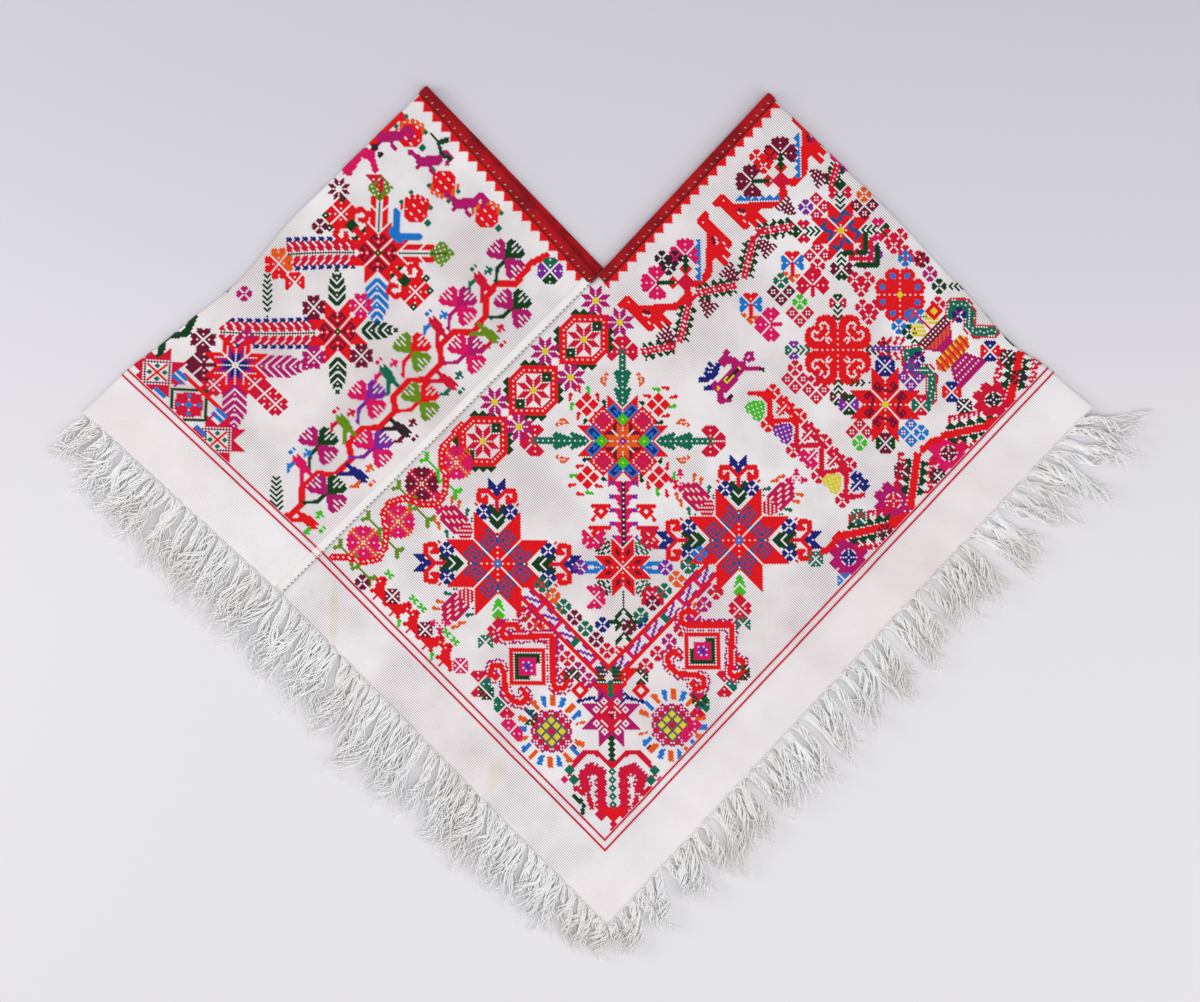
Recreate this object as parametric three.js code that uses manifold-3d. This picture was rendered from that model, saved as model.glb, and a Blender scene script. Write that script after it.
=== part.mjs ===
// A quechquemitl cape lying flat, its front on its back and folded at both shoulders.
// It is two equal rectangles of cloth. One end of each is sewn to the long side of the other,
// the neck edges are bound with red tape, and the hem is unravelled into a fringe of twisted locks.
// Millimetres, Z up. The back rests on Z = 0, the neck points to +Y and the front faces +Z.

import * as THREE from "three";
import Module from "manifold-3d";

const wasm = await Module();
wasm.setup();

// The cut of one panel
const PANEL_WIDTH = 404; // across the cloth, from the neck edge to the fringe
const HEM_LINE = 357; // from the neck edge to the outer line of red hem stitches
const NECK_SIDE = 228; // from the point of the neck's V to a shoulder fold
const CLOTH = 1.2; // thickness with its embroidery
const GAP = 0.3; // air between pieces that touch
const SEAM = GAP / 2; // each panel stops this far from the line of the seam

// The neck binding: a tape folded over the edge
const TAPE = 1.0; // thickness
const TAPE_WIDTH = 8; // how far it covers the cloth
const TAPE_START = 2 * GAP + TAPE; // where one binding starts past the other at the V

// How the cloth lies
const FOLD_RADIUS = 2.6; // of the wall's middle, at a shoulder
const FOLD_REACH = 46; // the front comes down to the back over this width
const NECK_FLAT = 9.5; // beside the neck it stays raised this far
const NECK_REACH = 32; // and is down again here
const NECK_LIFT = TAPE + GAP; // the cloth rises by this to make room for the tape below it

// How closely the walls are divided
const ROW_STEP = 30;
const FLAT_ROW_STEP = 70;
const BESIDE_NECK = [NECK_FLAT, (NECK_FLAT + NECK_REACH) / 2];

// The fringe
const STRIP = 3; // width of the last woven rows, which hold the locks
const LOCKS_PER_PANEL = 104;
const LOCK_HALF_WIDTH = 2.3;
const LOCK_HEIGHT = 1.5;
const BACK_LOCK_FLOOR = 0.3; // the back's locks lie just above the table
const FRONT_LOCK_FLOOR = 2.3; // and the front's on them
const LOCK_SWAY = 3; // degrees that a lock turns from its neighbours
const LOCK_BEND = 2.4; // how far its middle leaves a straight line
const LOCK_UNEVEN = 0.14; // how much its length differs, as a share
const FOLD_CLEARANCE = 4; // no lock starts nearer to a shoulder fold

// Where the corners of the front lie on the table. neck is the point of the V, shoulders are at
// the top, and the rest are where folds, seams and hems cross the outer line of hem stitches.
const FRONT = {
  neck: { x: -4.8, y: 222.5 },
  rightShoulder: { x: 149.1, y: 387.2 },
  leftShoulder: { x: -157.8, y: 393.5 },
  rightCorner: { x: 407.4, y: 139.7 },
  leftCorner: { x: -431.4, y: 135.2 },
  rightSeam: { x: 246.3, y: -32.2 },
  leftSeam: { x: -255.9, y: -29.5 },
  bottom: { x: 2.4, y: -292.3 },
};
// The back's V lies a little to the right, so that its left binding shows beside the front's.
const BACK = { ...FRONT, neck: { x: 1.4, y: 229.1 } };

// The corners that bound each panel, and where it starts on the front and ends on the back.
// along runs up to the panel's shoulder and across runs down to its hem, both from the V's point.
// outward is the sign that makes its normals point to the embroidered side.
const PANELS = {
  right: {
    shoulder: "rightShoulder",
    corner: "rightCorner",
    seam: "rightSeam",
    farSeam: "leftSeam",
    frontStart: -PANEL_WIDTH,
    backEnd: SEAM,
    outward: -1,
  },
  left: {
    shoulder: "leftShoulder",
    corner: "leftCorner",
    seam: "leftSeam",
    farSeam: "rightSeam",
    frontStart: SEAM,
    backEnd: -PANEL_WIDTH,
    outward: 1,
  },
};

// Each shoulder fold wanders inward from a straight line by inset at this place across the panel.
const FOLD_WANDER = {
  left: [
    { across: 0, inset: 0 },
    { across: 150, inset: 2 },
    { across: 235, inset: 10 },
    { across: 300, inset: 5 },
    { across: 357, inset: 0 },
    { across: 420, inset: 0 },
  ],
  right: [
    { across: 0, inset: 0 },
    { across: 140, inset: 0 },
    { across: 250, inset: 5 },
    { across: 310, inset: 10 },
    { across: 357, inset: 3 },
    { across: 420, inset: 0 },
  ],
};

// Soft creases of the front. from and to are [along, across] in the right panel's directions, so
// on the left front across is below zero.
const CREASES = [
  { name: "lower right hem 1", from: [-300, 330], to: [-285, 425], width: 17, height: 3.4 },
  { name: "lower right hem 2", from: [-240, 350], to: [-215, 430], width: 19, height: 3.0 },
  { name: "lower right hem 3", from: [-120, 330], to: [-95, 430], width: 20, height: 3.6 },
  { name: "lower right hem 4", from: [-30, 300], to: [0, 430], width: 22, height: 4.0 },
  { name: "lower right hem 5", from: [60, 340], to: [75, 425], width: 18, height: 2.8 },
  { name: "lower right hem 6", from: [140, 350], to: [150, 425], width: 18, height: 2.6 },
  { name: "lower left hem 1", from: [-425, 70], to: [-300, 95], width: 19, height: 2.8 },
  { name: "lower left hem 2", from: [-425, 245], to: [-320, 235], width: 18, height: 3.4 },
  { name: "lower left hem 3", from: [-425, 330], to: [-350, 310], width: 17, height: 2.6 },
  { name: "upper left hem", from: [-425, -110], to: [-330, -80], width: 20, height: 2.8 },
  { name: "left front", from: [-260, -60], to: [-120, -160], width: 26, height: 2.6 },
  { name: "left shoulder", from: [-50, -150], to: [-190, -190], width: 22, height: 2.0 },
  { name: "middle", from: [-20, 60], to: [-130, 210], width: 30, height: 2.2 },
  { name: "right front", from: [120, 120], to: [30, 260], width: 26, height: 2.4 },
];

// Which way the locks lie along the front's hem, from a shoulder fold at 0 to the lowest corner
// at 1. heading is in degrees from +X on the right hem, and from -X on the left.
const LOCK_LAY = {
  right: [
    { at: 0, heading: -4, length: 62 },
    { at: 0.12, heading: -28, length: 66 },
    { at: 0.3, heading: -46, length: 56 },
    { at: 0.6, heading: -50, length: 60 },
    { at: 0.85, heading: -62, length: 50 },
    { at: 1, heading: -80, length: 32 },
  ],
  left: [
    { at: 0, heading: 30, length: 42 },
    { at: 0.08, heading: 52, length: 62 },
    { at: 0.3, heading: 62, length: 68 },
    { at: 0.6, heading: 66, length: 72 },
    { at: 0.85, heading: 72, length: 58 },
    { at: 1, heading: 82, length: 32 },
  ],
};

const COLOURS = {
  cloth: { color: 0xf1edec, roughness: 0.9, metalness: 0 },
  fringe: { color: 0xf3f1ee, roughness: 0.95, metalness: 0 },
  tape: { color: 0xb5121f, roughness: 0.8, metalness: 0 },
};

// One where x is below start, zero where it is past end, and smooth between.
function easeOut(x, start, end) {
  const t = THREE.MathUtils.clamp((x - start) / (end - start), 0, 1);
  return 1 - t * t * (3 - 2 * t);
}

// Reads column at x from a table whose rows are in order of key.
function lookUp(table, key, column, x) {
  const next = table.findIndex((row) => row[key] >= x);
  if (next === 0) return table[0][column];
  if (next < 0) return table.at(-1)[column];
  const [low, high] = [table[next - 1], table[next]];
  const t = (x - low[key]) / (high[key] - low[key]);
  return THREE.MathUtils.lerp(low[column], high[column], t * t * (3 - 2 * t));
}

// The place on the table of a point of a panel, which is straight in the cut and askew as laid.
function planPoint(corners, panel, along, across) {
  const own = PANELS[panel];
  const upper = along >= 0;
  const inset = lookUp(FOLD_WANDER[panel], "across", "inset", across);
  const a = upper ? (along * (1 - inset / NECK_SIDE)) / NECK_SIDE : -along / HEM_LINE;
  const b = across / HEM_LINE;
  const [top, topHem] = upper ? [own.shoulder, own.corner] : [own.farSeam, "bottom"];
  const at = (name) => new THREE.Vector2(corners[name].x, corners[name].y);
  const neckSide = at("neck").lerp(at(top), a);
  const hemSide = at(own.seam).lerp(at(topHem), a);
  return neckSide.lerp(hemSide, b);
}

// How high the creases stand at a point given in the right panel's directions.
function creaseHeight(along, across) {
  let height = 0;
  for (const crease of CREASES) {
    const start = new THREE.Vector2(...crease.from);
    const run = new THREE.Vector2(...crease.to).sub(start);
    const here = new THREE.Vector2(along, across).sub(start);
    const t = here.dot(run) / run.lengthSq();
    const aside = Math.abs(here.cross(run)) / run.length();
    const taper = Math.sin(Math.PI * THREE.MathUtils.clamp(t, 0, 1));
    height += crease.height * Math.sqrt(taper) * easeOut(aside, 0, crease.width);
  }
  return height;
}

// The middle of the wall at a place on a panel, with angle set only on the rounded fold:
// 90 degrees where it leaves the front, -90 where it meets the back.
function wallMiddle(panel, place, across) {
  const onFold = place.angle !== undefined;
  const along = onFold ? NECK_SIDE - FOLD_RADIUS * (1 - Math.cos(place.angle)) : place.along;
  const fromNeck = along >= 0 ? Math.abs(across) : Math.hypot(along, across);
  const atNeck = easeOut(fromNeck, NECK_FLAT, NECK_REACH);
  const atFold = easeOut(NECK_SIDE - along, FOLD_RADIUS, FOLD_REACH);
  const flatApart = CLOTH + GAP;
  const apart = flatApart + 2 * NECK_LIFT * atNeck * (1 - atFold) + (2 * FOLD_RADIUS - flatApart) * atFold;
  const { x, y } = planPoint(place.onBack ? BACK : FRONT, panel, along, across);
  let height = CLOTH / 2 + NECK_LIFT * atNeck;
  if (onFold) {
    height += FOLD_RADIUS * (1 + Math.sin(place.angle));
  } else if (!place.onBack) {
    const crease = panel === "right" ? creaseHeight(along, across) : creaseHeight(-across, -along);
    height += apart + crease * (1 - atFold) * (1 - atNeck);
  }
  return new THREE.Vector3(x, y, height);
}

// The place at a length along a panel's middle, from its start on the front, over its shoulder
// and down its back.
function placeAt(panel, length) {
  const front = NECK_SIDE - FOLD_RADIUS - PANELS[panel].frontStart;
  const arc = Math.PI * FOLD_RADIUS;
  if (length <= front) return { along: PANELS[panel].frontStart + length, onBack: false };
  if (length < front + arc) {
    const angle = Math.PI / 2 - (length - front) / FOLD_RADIUS;
    return { angle, onBack: angle < 0 };
  }
  return { along: NECK_SIDE - FOLD_RADIUS - (length - front - arc), onBack: true };
}

function lengthAt(panel, along, onBack) {
  const front = NECK_SIDE - FOLD_RADIUS - PANELS[panel].frontStart;
  if (!onBack) return along - PANELS[panel].frontStart;
  return front + Math.PI * FOLD_RADIUS + NECK_SIDE - FOLD_RADIUS - along;
}

// A point of a panel moved out from its middle, towards the embroidered side if out is positive.
function wallPoint(panel, length, across, out) {
  const step = 0.4;
  const at = (l, c) => wallMiddle(panel, placeAt(panel, l), c);
  const lengthwise = at(length + step, across).sub(at(length - step, across));
  const crosswise = at(length, across + step).sub(at(length, across - step));
  const normal = lengthwise.cross(crosswise).multiplyScalar(PANELS[panel].outward).normalize();
  return at(length, across).addScaledVector(normal, out);
}

// Even steps from one value to another, both included, none longer than size.
function steps(from, to, size) {
  const count = Math.max(1, Math.ceil(Math.abs(to - from) / size));
  return Array.from({ length: count + 1 }, (_, i) => from + ((to - from) * i) / count);
}

// The lengths along a panel at which it gets a row of points: close together at the fold and
// beside the neck, and further apart where the back lies flat.
function rowLengths(panel) {
  const top = NECK_SIDE - FOLD_RADIUS;
  const eased = NECK_SIDE - FOLD_REACH;
  const layer = (end, size) => {
    const belowNeck = [...steps(end, -NECK_REACH, size), ...BESIDE_NECK.map((d) => -d), 0];
    const low = end < 0 ? belowNeck : [end, 2 * SEAM];
    return [...low, ...steps(TAPE_START, eased, size), ...steps(eased, top, ROW_STEP / 2)];
  };
  const { frontStart, backEnd } = PANELS[panel];
  const lengths = [
    ...layer(frontStart, ROW_STEP).map((along) => lengthAt(panel, along, false)),
    ...steps(lengthAt(panel, top, false), lengthAt(panel, top, true), FOLD_RADIUS / 2),
    ...layer(backEnd, FLAT_ROW_STEP).map((along) => lengthAt(panel, along, true)),
  ];
  const sorted = lengths.sort((a, b) => a - b);
  return sorted.filter((length, i) => i === 0 || length - sorted[i - 1] > SEAM / 2);
}

function acrossPlaces() {
  return [SEAM, ...BESIDE_NECK, ...steps(NECK_REACH, PANEL_WIDTH, ROW_STEP)];
}

// A closed body from loops of points, each the same number round. Its ends are closed flat.
function loft(loops, section) {
  const round = loops[0].length;
  const points = loops.flat();
  const faces = [];
  for (let i = 0; i + 1 < loops.length; i += 1) {
    for (let j = 0; j < round; j += 1) {
      const [a, b] = [i * round + j, i * round + ((j + 1) % round)];
      faces.push([a, b, b + round], [a, b + round, a + round]);
    }
  }
  const ends = THREE.ShapeUtils.triangulateShape(section, []);
  const last = (loops.length - 1) * round;
  for (const [a, b, c] of ends) {
    faces.push([a, c, b], [last + a, last + b, last + c]);
  }
  return closedGeometry(points, faces);
}

// Turns a closed mesh's faces so that they point out, whichever way it was wound.
function closedGeometry(points, faces) {
  let volume = 0;
  for (const [a, b, c] of faces) {
    volume += points[a].dot(new THREE.Vector3().crossVectors(points[b], points[c]));
  }
  const index = faces.flatMap(([a, b, c]) => (volume < 0 ? [a, c, b] : [a, b, c]));
  const geometry = new THREE.BufferGeometry().setFromPoints(points);
  geometry.setIndex(index);
  geometry.computeVertexNormals();
  return geometry;
}

// A wall of cloth: rows of points on its outer face, the same rows on its inner face, and a rim.
function panelGeometry(panel) {
  const lengths = rowLengths(panel);
  const places = acrossPlaces();
  const wide = places.length;
  const face = (out) => lengths.flatMap((l) => places.map((c) => wallPoint(panel, l, c, out)));
  const points = [...face(CLOTH / 2), ...face(-CLOTH / 2)];
  const inner = lengths.length * wide;
  const faces = [];
  for (let i = 0; i + 1 < lengths.length; i += 1) {
    for (let j = 0; j + 1 < wide; j += 1) {
      const a = i * wide + j;
      faces.push([a, a + 1, a + wide + 1], [a, a + wide + 1, a + wide]);
      faces.push([inner + a, inner + a + wide + 1, inner + a + 1]);
      faces.push([inner + a, inner + a + wide, inner + a + wide + 1]);
    }
  }
  const rim = [
    ...Array.from({ length: wide - 1 }, (_, j) => j),
    ...Array.from({ length: lengths.length - 1 }, (_, i) => i * wide + wide - 1),
    ...Array.from({ length: wide - 1 }, (_, j) => inner - 1 - j),
    ...Array.from({ length: lengths.length - 1 }, (_, i) => inner - wide - i * wide),
  ];
  rim.forEach((a, i) => {
    const b = rim[(i + 1) % rim.length];
    faces.push([a, inner + a, inner + b], [a, inner + b, b]);
  });
  return closedGeometry(points, faces);
}

// The tape's section round the cloth's edge: how far across the panel, and how far out.
function tapeSection() {
  const slot = CLOTH / 2 + GAP;
  const face = slot + TAPE;
  const edge = SEAM - GAP;
  const outside = edge - TAPE;
  const corner = TAPE / 2;
  return [
    [TAPE_WIDTH, slot],
    [TAPE_WIDTH, face - corner],
    [TAPE_WIDTH - TAPE, face],
    [edge + corner, face],
    [outside + corner / 2, slot + corner],
    [outside, corner],
    [outside, -corner],
    [outside + corner / 2, -slot - corner],
    [edge + corner, -face],
    [TAPE_WIDTH - TAPE, -face],
    [TAPE_WIDTH, -face + corner],
    [TAPE_WIDTH, -slot],
    [edge, -slot],
    [edge, slot],
  ].map(([across, out]) => new THREE.Vector2(across, out));
}

// The binding starts at the V on the front and ends at the V on the back. On each layer one of
// the two runs into the V's point and the other stops short of it.
function bindingGeometry(panel) {
  const runsInFront = panel === "left";
  const start = lengthAt(panel, runsInFront ? 2 * SEAM : TAPE_START, false);
  const end = lengthAt(panel, runsInFront ? TAPE_START : 2 * SEAM, true);
  const near = (length) => length > start - SEAM / 2 && length < end + SEAM / 2;
  const section = tapeSection();
  const loopAt = (length) => section.map((p) => wallPoint(panel, length, p.x, p.y));
  const loops = rowLengths(panel).filter(near).map(loopAt);
  return loft(loops, section);
}

function toSolid(geometry) {
  const vertProperties = new Float32Array(geometry.attributes.position.array);
  const triVerts = new Uint32Array(geometry.index.array);
  return new wasm.Manifold(new wasm.Mesh({ numProp: 3, vertProperties, triVerts }));
}

function fromSolid(solid) {
  const mesh = solid.getMesh();
  const geometry = new THREE.BufferGeometry();
  geometry.setAttribute("position", new THREE.BufferAttribute(new Float32Array(mesh.vertProperties), 3));
  geometry.setIndex(new THREE.BufferAttribute(new Uint32Array(mesh.triVerts), 1));
  geometry.computeVertexNormals();
  return geometry;
}

// One twisted lock: three-sided, from inside the strip, down to where it lies, to a thin tip.
function lockGeometry(root, floor, heading, length, bend) {
  const rings = [
    { at: 0, floor: root.z - CLOTH / 3, half: LOCK_HALF_WIDTH * 0.8, height: CLOTH * 0.6 },
    { at: 0.22, floor, half: LOCK_HALF_WIDTH, height: LOCK_HEIGHT },
    { at: 0.65, floor, half: LOCK_HALF_WIDTH * 0.85, height: LOCK_HEIGHT },
    { at: 1, floor, half: LOCK_HALF_WIDTH * 0.3, height: LOCK_HEIGHT / 2 },
  ];
  const ahead = new THREE.Vector3(Math.cos(heading), Math.sin(heading), 0);
  const aside = new THREE.Vector3(-ahead.y, ahead.x, 0);
  const loops = rings.map((ring) => {
    const middle = new THREE.Vector3(root.x, root.y, ring.floor)
      .addScaledVector(ahead, ring.at * length)
      .addScaledVector(aside, bend * Math.sin(Math.PI * ring.at));
    const right = middle.clone().addScaledVector(aside, -ring.half);
    const left = middle.clone().addScaledVector(aside, ring.half);
    return [right, left, middle.setZ(ring.floor + ring.height)];
  });
  const section = [new THREE.Vector2(-1, 0), new THREE.Vector2(1, 0), new THREE.Vector2(0, 1)];
  return loft(loops, section);
}

// A strip of the last woven rows beside an edge, and the locks that hang from it. edge.places are
// where the strip has a section, edge.point(place, beyond, out) is a point outside the edge, and
// edge.locks says where each lock starts and how far it is round the hem.
function fringeGeometry(edge) {
  const section = [
    new THREE.Vector2(GAP, -CLOTH / 2),
    new THREE.Vector2(GAP + STRIP, -CLOTH / 2),
    new THREE.Vector2(GAP + STRIP, CLOTH / 2),
    new THREE.Vector2(GAP, CLOTH / 2),
  ];
  const loops = edge.places.map((place) => section.map((p) => edge.point(place, p.x, p.y)));
  const strip = toSolid(loft(loops, section));
  const locks = edge.locks.map(({ place, hem, onBack, index }) => {
    const next = Math.max(1, edge.places.findIndex((other) => other >= place));
    const [low, high] = [edge.places[next - 1], edge.places[next]];
    const root = edge.point(low, GAP + STRIP / 2, 0);
    root.lerp(edge.point(high, GAP + STRIP / 2, 0), (place - low) / (high - low));
    const side = root.x > FRONT.bottom.x ? "right" : "left";
    const degrees = lookUp(LOCK_LAY[side], "at", "heading", hem) + (side === "left" ? 180 : 0);
    const heading = THREE.MathUtils.degToRad(degrees + LOCK_SWAY * Math.sin(index * 2.4));
    const evenLength = lookUp(LOCK_LAY[side], "at", "length", hem);
    const length = evenLength * (1 + LOCK_UNEVEN * Math.sin(index * 1.9));
    const floor = onBack ? BACK_LOCK_FLOOR : FRONT_LOCK_FLOOR;
    return toSolid(lockGeometry(root, floor, heading, length, LOCK_BEND * Math.sin(index * 1.3)));
  });
  return fromSolid(wasm.Manifold.union([strip, ...locks]));
}

// The long side's fringe goes from the front, round the shoulder fold, to the back.
function sideFringe(panel) {
  const panelLength = lengthAt(panel, PANELS[panel].backEnd, true);
  const spacing = (panelLength + PANEL_WIDTH) / LOCKS_PER_PANEL;
  const locks = [];
  for (let index = 0; (index + 0.5) * spacing < panelLength; index += 1) {
    const place = (index + 0.5) * spacing;
    const { along, onBack } = placeAt(panel, place);
    if (along === undefined || NECK_SIDE - along < FOLD_RADIUS + FOLD_CLEARANCE) continue;
    locks.push({ place, onBack, index, hem: (NECK_SIDE - along) / (NECK_SIDE + PANEL_WIDTH) });
  }
  const point = (place, beyond, out) => wallPoint(panel, place, PANEL_WIDTH + beyond, out);
  return fringeGeometry({ places: rowLengths(panel), point, locks });
}

// The short end's fringe lies across the end of the panel, on the layer where that end is.
function endFringe(panel) {
  const onBack = panel === "left";
  const end = lengthAt(panel, -PANEL_WIDTH, onBack);
  const away = onBack ? 1 : -1;
  const spacing = (lengthAt(panel, PANELS[panel].backEnd, true) + PANEL_WIDTH) / LOCKS_PER_PANEL;
  const locks = [];
  for (let index = 0; (index + 0.5) * spacing < PANEL_WIDTH; index += 1) {
    const place = (index + 0.5) * spacing;
    locks.push({ place, onBack, index, hem: (NECK_SIDE + place) / (NECK_SIDE + PANEL_WIDTH) });
  }
  const point = (place, beyond, out) => wallPoint(panel, end + away * beyond, place, out);
  return fringeGeometry({ places: acrossPlaces(), point, locks });
}

function addPiece(group, name, geometry, finish) {
  const mesh = new THREE.Mesh(geometry, new THREE.MeshStandardMaterial(finish));
  mesh.name = name;
  group.add(mesh);
}

const cape = new THREE.Group();
for (const panel of ["right", "left"]) {
  addPiece(cape, `${panel}_panel`, panelGeometry(panel), COLOURS.cloth);
  addPiece(cape, `neck_binding_${panel}`, bindingGeometry(panel), COLOURS.tape);
  addPiece(cape, `${panel}_side_fringe`, sideFringe(panel), COLOURS.fringe);
  addPiece(cape, `${panel}_end_fringe`, endFringe(panel), COLOURS.fringe);
}

export default cape;
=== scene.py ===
# %% [markdown]
# # A quechquemitl cape, laid flat
# A quechquemitl is two equal rectangles of cotton. One short end of each is sewn to the long side
# of the other, and what stays open between them is the neck. This one lies front over back, folded
# at both shoulders, and nearly all of it is covered with counted cross-stitch.
# The CAD solids give the cloth its place. Here they get thinner cloth, yarn and thread.

# %% The frame
import bpy
import numpy as np
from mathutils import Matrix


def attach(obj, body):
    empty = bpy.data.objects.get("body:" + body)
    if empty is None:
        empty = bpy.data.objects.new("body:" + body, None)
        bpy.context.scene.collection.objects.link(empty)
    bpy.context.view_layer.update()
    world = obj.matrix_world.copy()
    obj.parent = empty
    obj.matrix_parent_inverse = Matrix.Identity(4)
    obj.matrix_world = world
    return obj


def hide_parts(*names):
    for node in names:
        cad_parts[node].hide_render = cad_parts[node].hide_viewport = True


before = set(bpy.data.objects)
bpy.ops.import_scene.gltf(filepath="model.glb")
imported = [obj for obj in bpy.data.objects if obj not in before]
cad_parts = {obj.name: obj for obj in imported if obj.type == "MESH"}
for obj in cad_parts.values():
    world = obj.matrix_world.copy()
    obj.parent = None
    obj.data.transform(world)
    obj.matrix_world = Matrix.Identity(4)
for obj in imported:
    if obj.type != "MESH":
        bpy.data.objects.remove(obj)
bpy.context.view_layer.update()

# %% [markdown]
# ## Where the cloth lies
# Thread, cloth and yarn have to sit on one surface, so its shape is worked out once, as a function
# of how far along and how far across a panel a point is. The sizes are those of the CAD solids, in
# millimetres. Along runs up the neck edge to the shoulder, and across runs from there to the hem.
# The points of a panel are given by length, which goes on over the shoulder fold and down the back.

# %% Sizes of the cut, in millimetres
MM = 0.001
PANEL_WIDTH = 404
HEM_LINE = 357
NECK_SIDE = 228
CLOTH = 1.2
GAP = 0.3
SEAM = GAP / 2
TAPE = 1.0
TAPE_WIDTH = 8
TAPE_START = 2 * GAP + TAPE
FOLD_RADIUS = 2.6
FOLD_LENGTH = np.pi * FOLD_RADIUS
FOLD_REACH = 46
NECK_FLAT = 9.5
NECK_REACH = 32
NECK_LIFT = TAPE + GAP

# %% Where the corners lie on the table
CORNERS = {
    "neck": (-4.8, 222.5),
    "back neck": (1.4, 229.1),
    "right shoulder": (149.1, 387.2),
    "left shoulder": (-157.8, 393.5),
    "right corner": (407.4, 139.7),
    "left corner": (-431.4, 135.2),
    "right seam": (246.3, -32.2),
    "left seam": (-255.9, -29.5),
    "bottom": (2.4, -292.3),
}
CORNERS = {name: np.array(place) for name, place in CORNERS.items()}
PANELS = {
    "right": dict(shoulder="right shoulder", corner="right corner", seam="right seam",
                  far_seam="left seam", front_start=-PANEL_WIDTH, back_end=SEAM, outward=-1),
    "left": dict(shoulder="left shoulder", corner="left corner", seam="left seam",
                 far_seam="right seam", front_start=SEAM, back_end=-PANEL_WIDTH, outward=1),
}
FOLD_WANDER = {  # how far a shoulder fold lies inside a straight line: places across, and insets
    "left": ((0, 150, 235, 300, 357, 420), (0, 2, 10, 5, 0, 0)),
    "right": ((0, 140, 250, 310, 357, 420), (0, 0, 5, 10, 3, 0)),
}

# %% [markdown]
# ## Creases
# Cotton that has lain folded keeps soft ridges. The large ones are in the CAD solids, and the
# smaller ones, of a millimetre and less, are added here. Each is a short low ridge with a place,
# a width and a height of its own, because creases in real cloth are never even.

# %% Creases of the front, in the right panel's directions
LARGE_CREASES = [  # from (along, across), to, width, height
    ((-300, 330), (-285, 425), 17, 3.4), ((-240, 350), (-215, 430), 19, 3.0),
    ((-120, 330), (-95, 430), 20, 3.6), ((-30, 300), (0, 430), 22, 4.0),
    ((60, 340), (75, 425), 18, 2.8), ((140, 350), (150, 425), 18, 2.6),
    ((-425, 70), (-300, 95), 19, 2.8), ((-425, 245), (-320, 235), 18, 3.4),
    ((-425, 330), (-350, 310), 17, 2.6), ((-425, -110), (-330, -80), 20, 2.8),
    ((-260, -60), (-120, -160), 26, 2.6), ((-50, -150), (-190, -190), 22, 2.0),
    ((-20, 60), (-130, 210), 30, 2.2), ((120, 120), (30, 260), 26, 2.4),
]
SMALL_CREASES = [
    ((-390, 20), (-310, 60), 9, 0.9), ((-400, 150), (-345, 160), 8, 0.8),
    ((-395, 190), (-330, 205), 7, 0.7), ((-400, 290), (-350, 280), 8, 0.9),
    ((-360, 400), (-300, 340), 9, 0.8), ((-180, 360), (-165, 410), 8, 0.9),
    ((-60, 370), (-50, 415), 7, 0.8), ((20, 380), (30, 415), 8, 0.9),
    ((105, 360), (112, 412), 8, 0.8), ((180, 350), (190, 410), 8, 0.7),
    ((-150, 110), (-60, 190), 12, 0.8), ((-260, 120), (-190, 250), 14, 0.8),
    ((40, 170), (150, 215), 12, 0.8), ((-90, 260), (10, 230), 11, 0.7),
    ((-330, -150), (-250, -190), 12, 0.9), ((-230, -100), (-140, -215), 13, 0.9),
    ((-380, -30), (-300, -50), 9, 0.8), ((-120, -60), (-70, -130), 12, 0.8),
    ((-395, -190), (-345, -160), 8, 0.7), ((-80, -190), (-30, -175), 9, 0.6),
    ((80, 60), (190, 90), 12, 0.6), ((-220, 300), (-120, 280), 13, 0.7),
]


def ease_out(x, start, end):
    """One where x is below start, zero past end, and smooth between."""
    t = np.clip((x - start) / (end - start), 0, 1)
    return 1 - t * t * (3 - 2 * t)


def look_up(x, places, values):
    """Reads a table at x, easing from each row to the next."""
    places, values = np.asarray(places, float), np.asarray(values, float)
    row = np.clip(np.searchsorted(places, x), 1, len(places) - 1)
    t = np.clip((x - places[row - 1]) / (places[row] - places[row - 1]), 0, 1)
    return values[row - 1] + (values[row] - values[row - 1]) * t * t * (3 - 2 * t)


def crease_height(along, across):
    height = np.zeros(np.shape(along))
    for start, end, width, top in LARGE_CREASES + SMALL_CREASES:
        run = np.subtract(end, start)
        da, dc = along - start[0], across - start[1]
        t = np.clip((da * run[0] + dc * run[1]) / (run @ run), 0, 1)
        aside = np.abs(da * run[1] - dc * run[0]) / np.hypot(*run)
        height += top * np.sqrt(np.sin(np.pi * t).clip(0)) * ease_out(aside, 0, width)
    return height


print("creases:", len(LARGE_CREASES), "large and", len(SMALL_CREASES), "small")


# %% The surface of a panel
def plan_point(panel, on_back, along, across):
    """The place on the table of a point of a panel, which is straight in the cut."""
    own = PANELS[panel]
    upper = along >= 0
    inset = look_up(across, *FOLD_WANDER[panel])
    a = np.where(upper, along * (1 - inset / NECK_SIDE) / NECK_SIDE, -along / HEM_LINE)[..., None]
    b = (across / HEM_LINE)[..., None]
    neck = np.where(on_back[..., None], CORNERS["back neck"], CORNERS["neck"])
    top = np.where(upper[..., None], CORNERS[own["shoulder"]], CORNERS[own["far_seam"]])
    top_hem = np.where(upper[..., None], CORNERS[own["corner"]], CORNERS["bottom"])
    neck_side = neck + (top - neck) * a
    hem_side = CORNERS[own["seam"]] + (top_hem - CORNERS[own["seam"]]) * a
    return neck_side + (hem_side - neck_side) * b


def fold_start(panel):
    """The length at which a panel's shoulder fold begins."""
    return NECK_SIDE - FOLD_RADIUS - PANELS[panel]["front_start"]


def along_at(panel, length, on_back):
    """How far along the front or the back a length is, away from the fold."""
    return np.where(on_back, NECK_SIDE - FOLD_RADIUS - (length - fold_start(panel) - FOLD_LENGTH),
                    PANELS[panel]["front_start"] + length)


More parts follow.
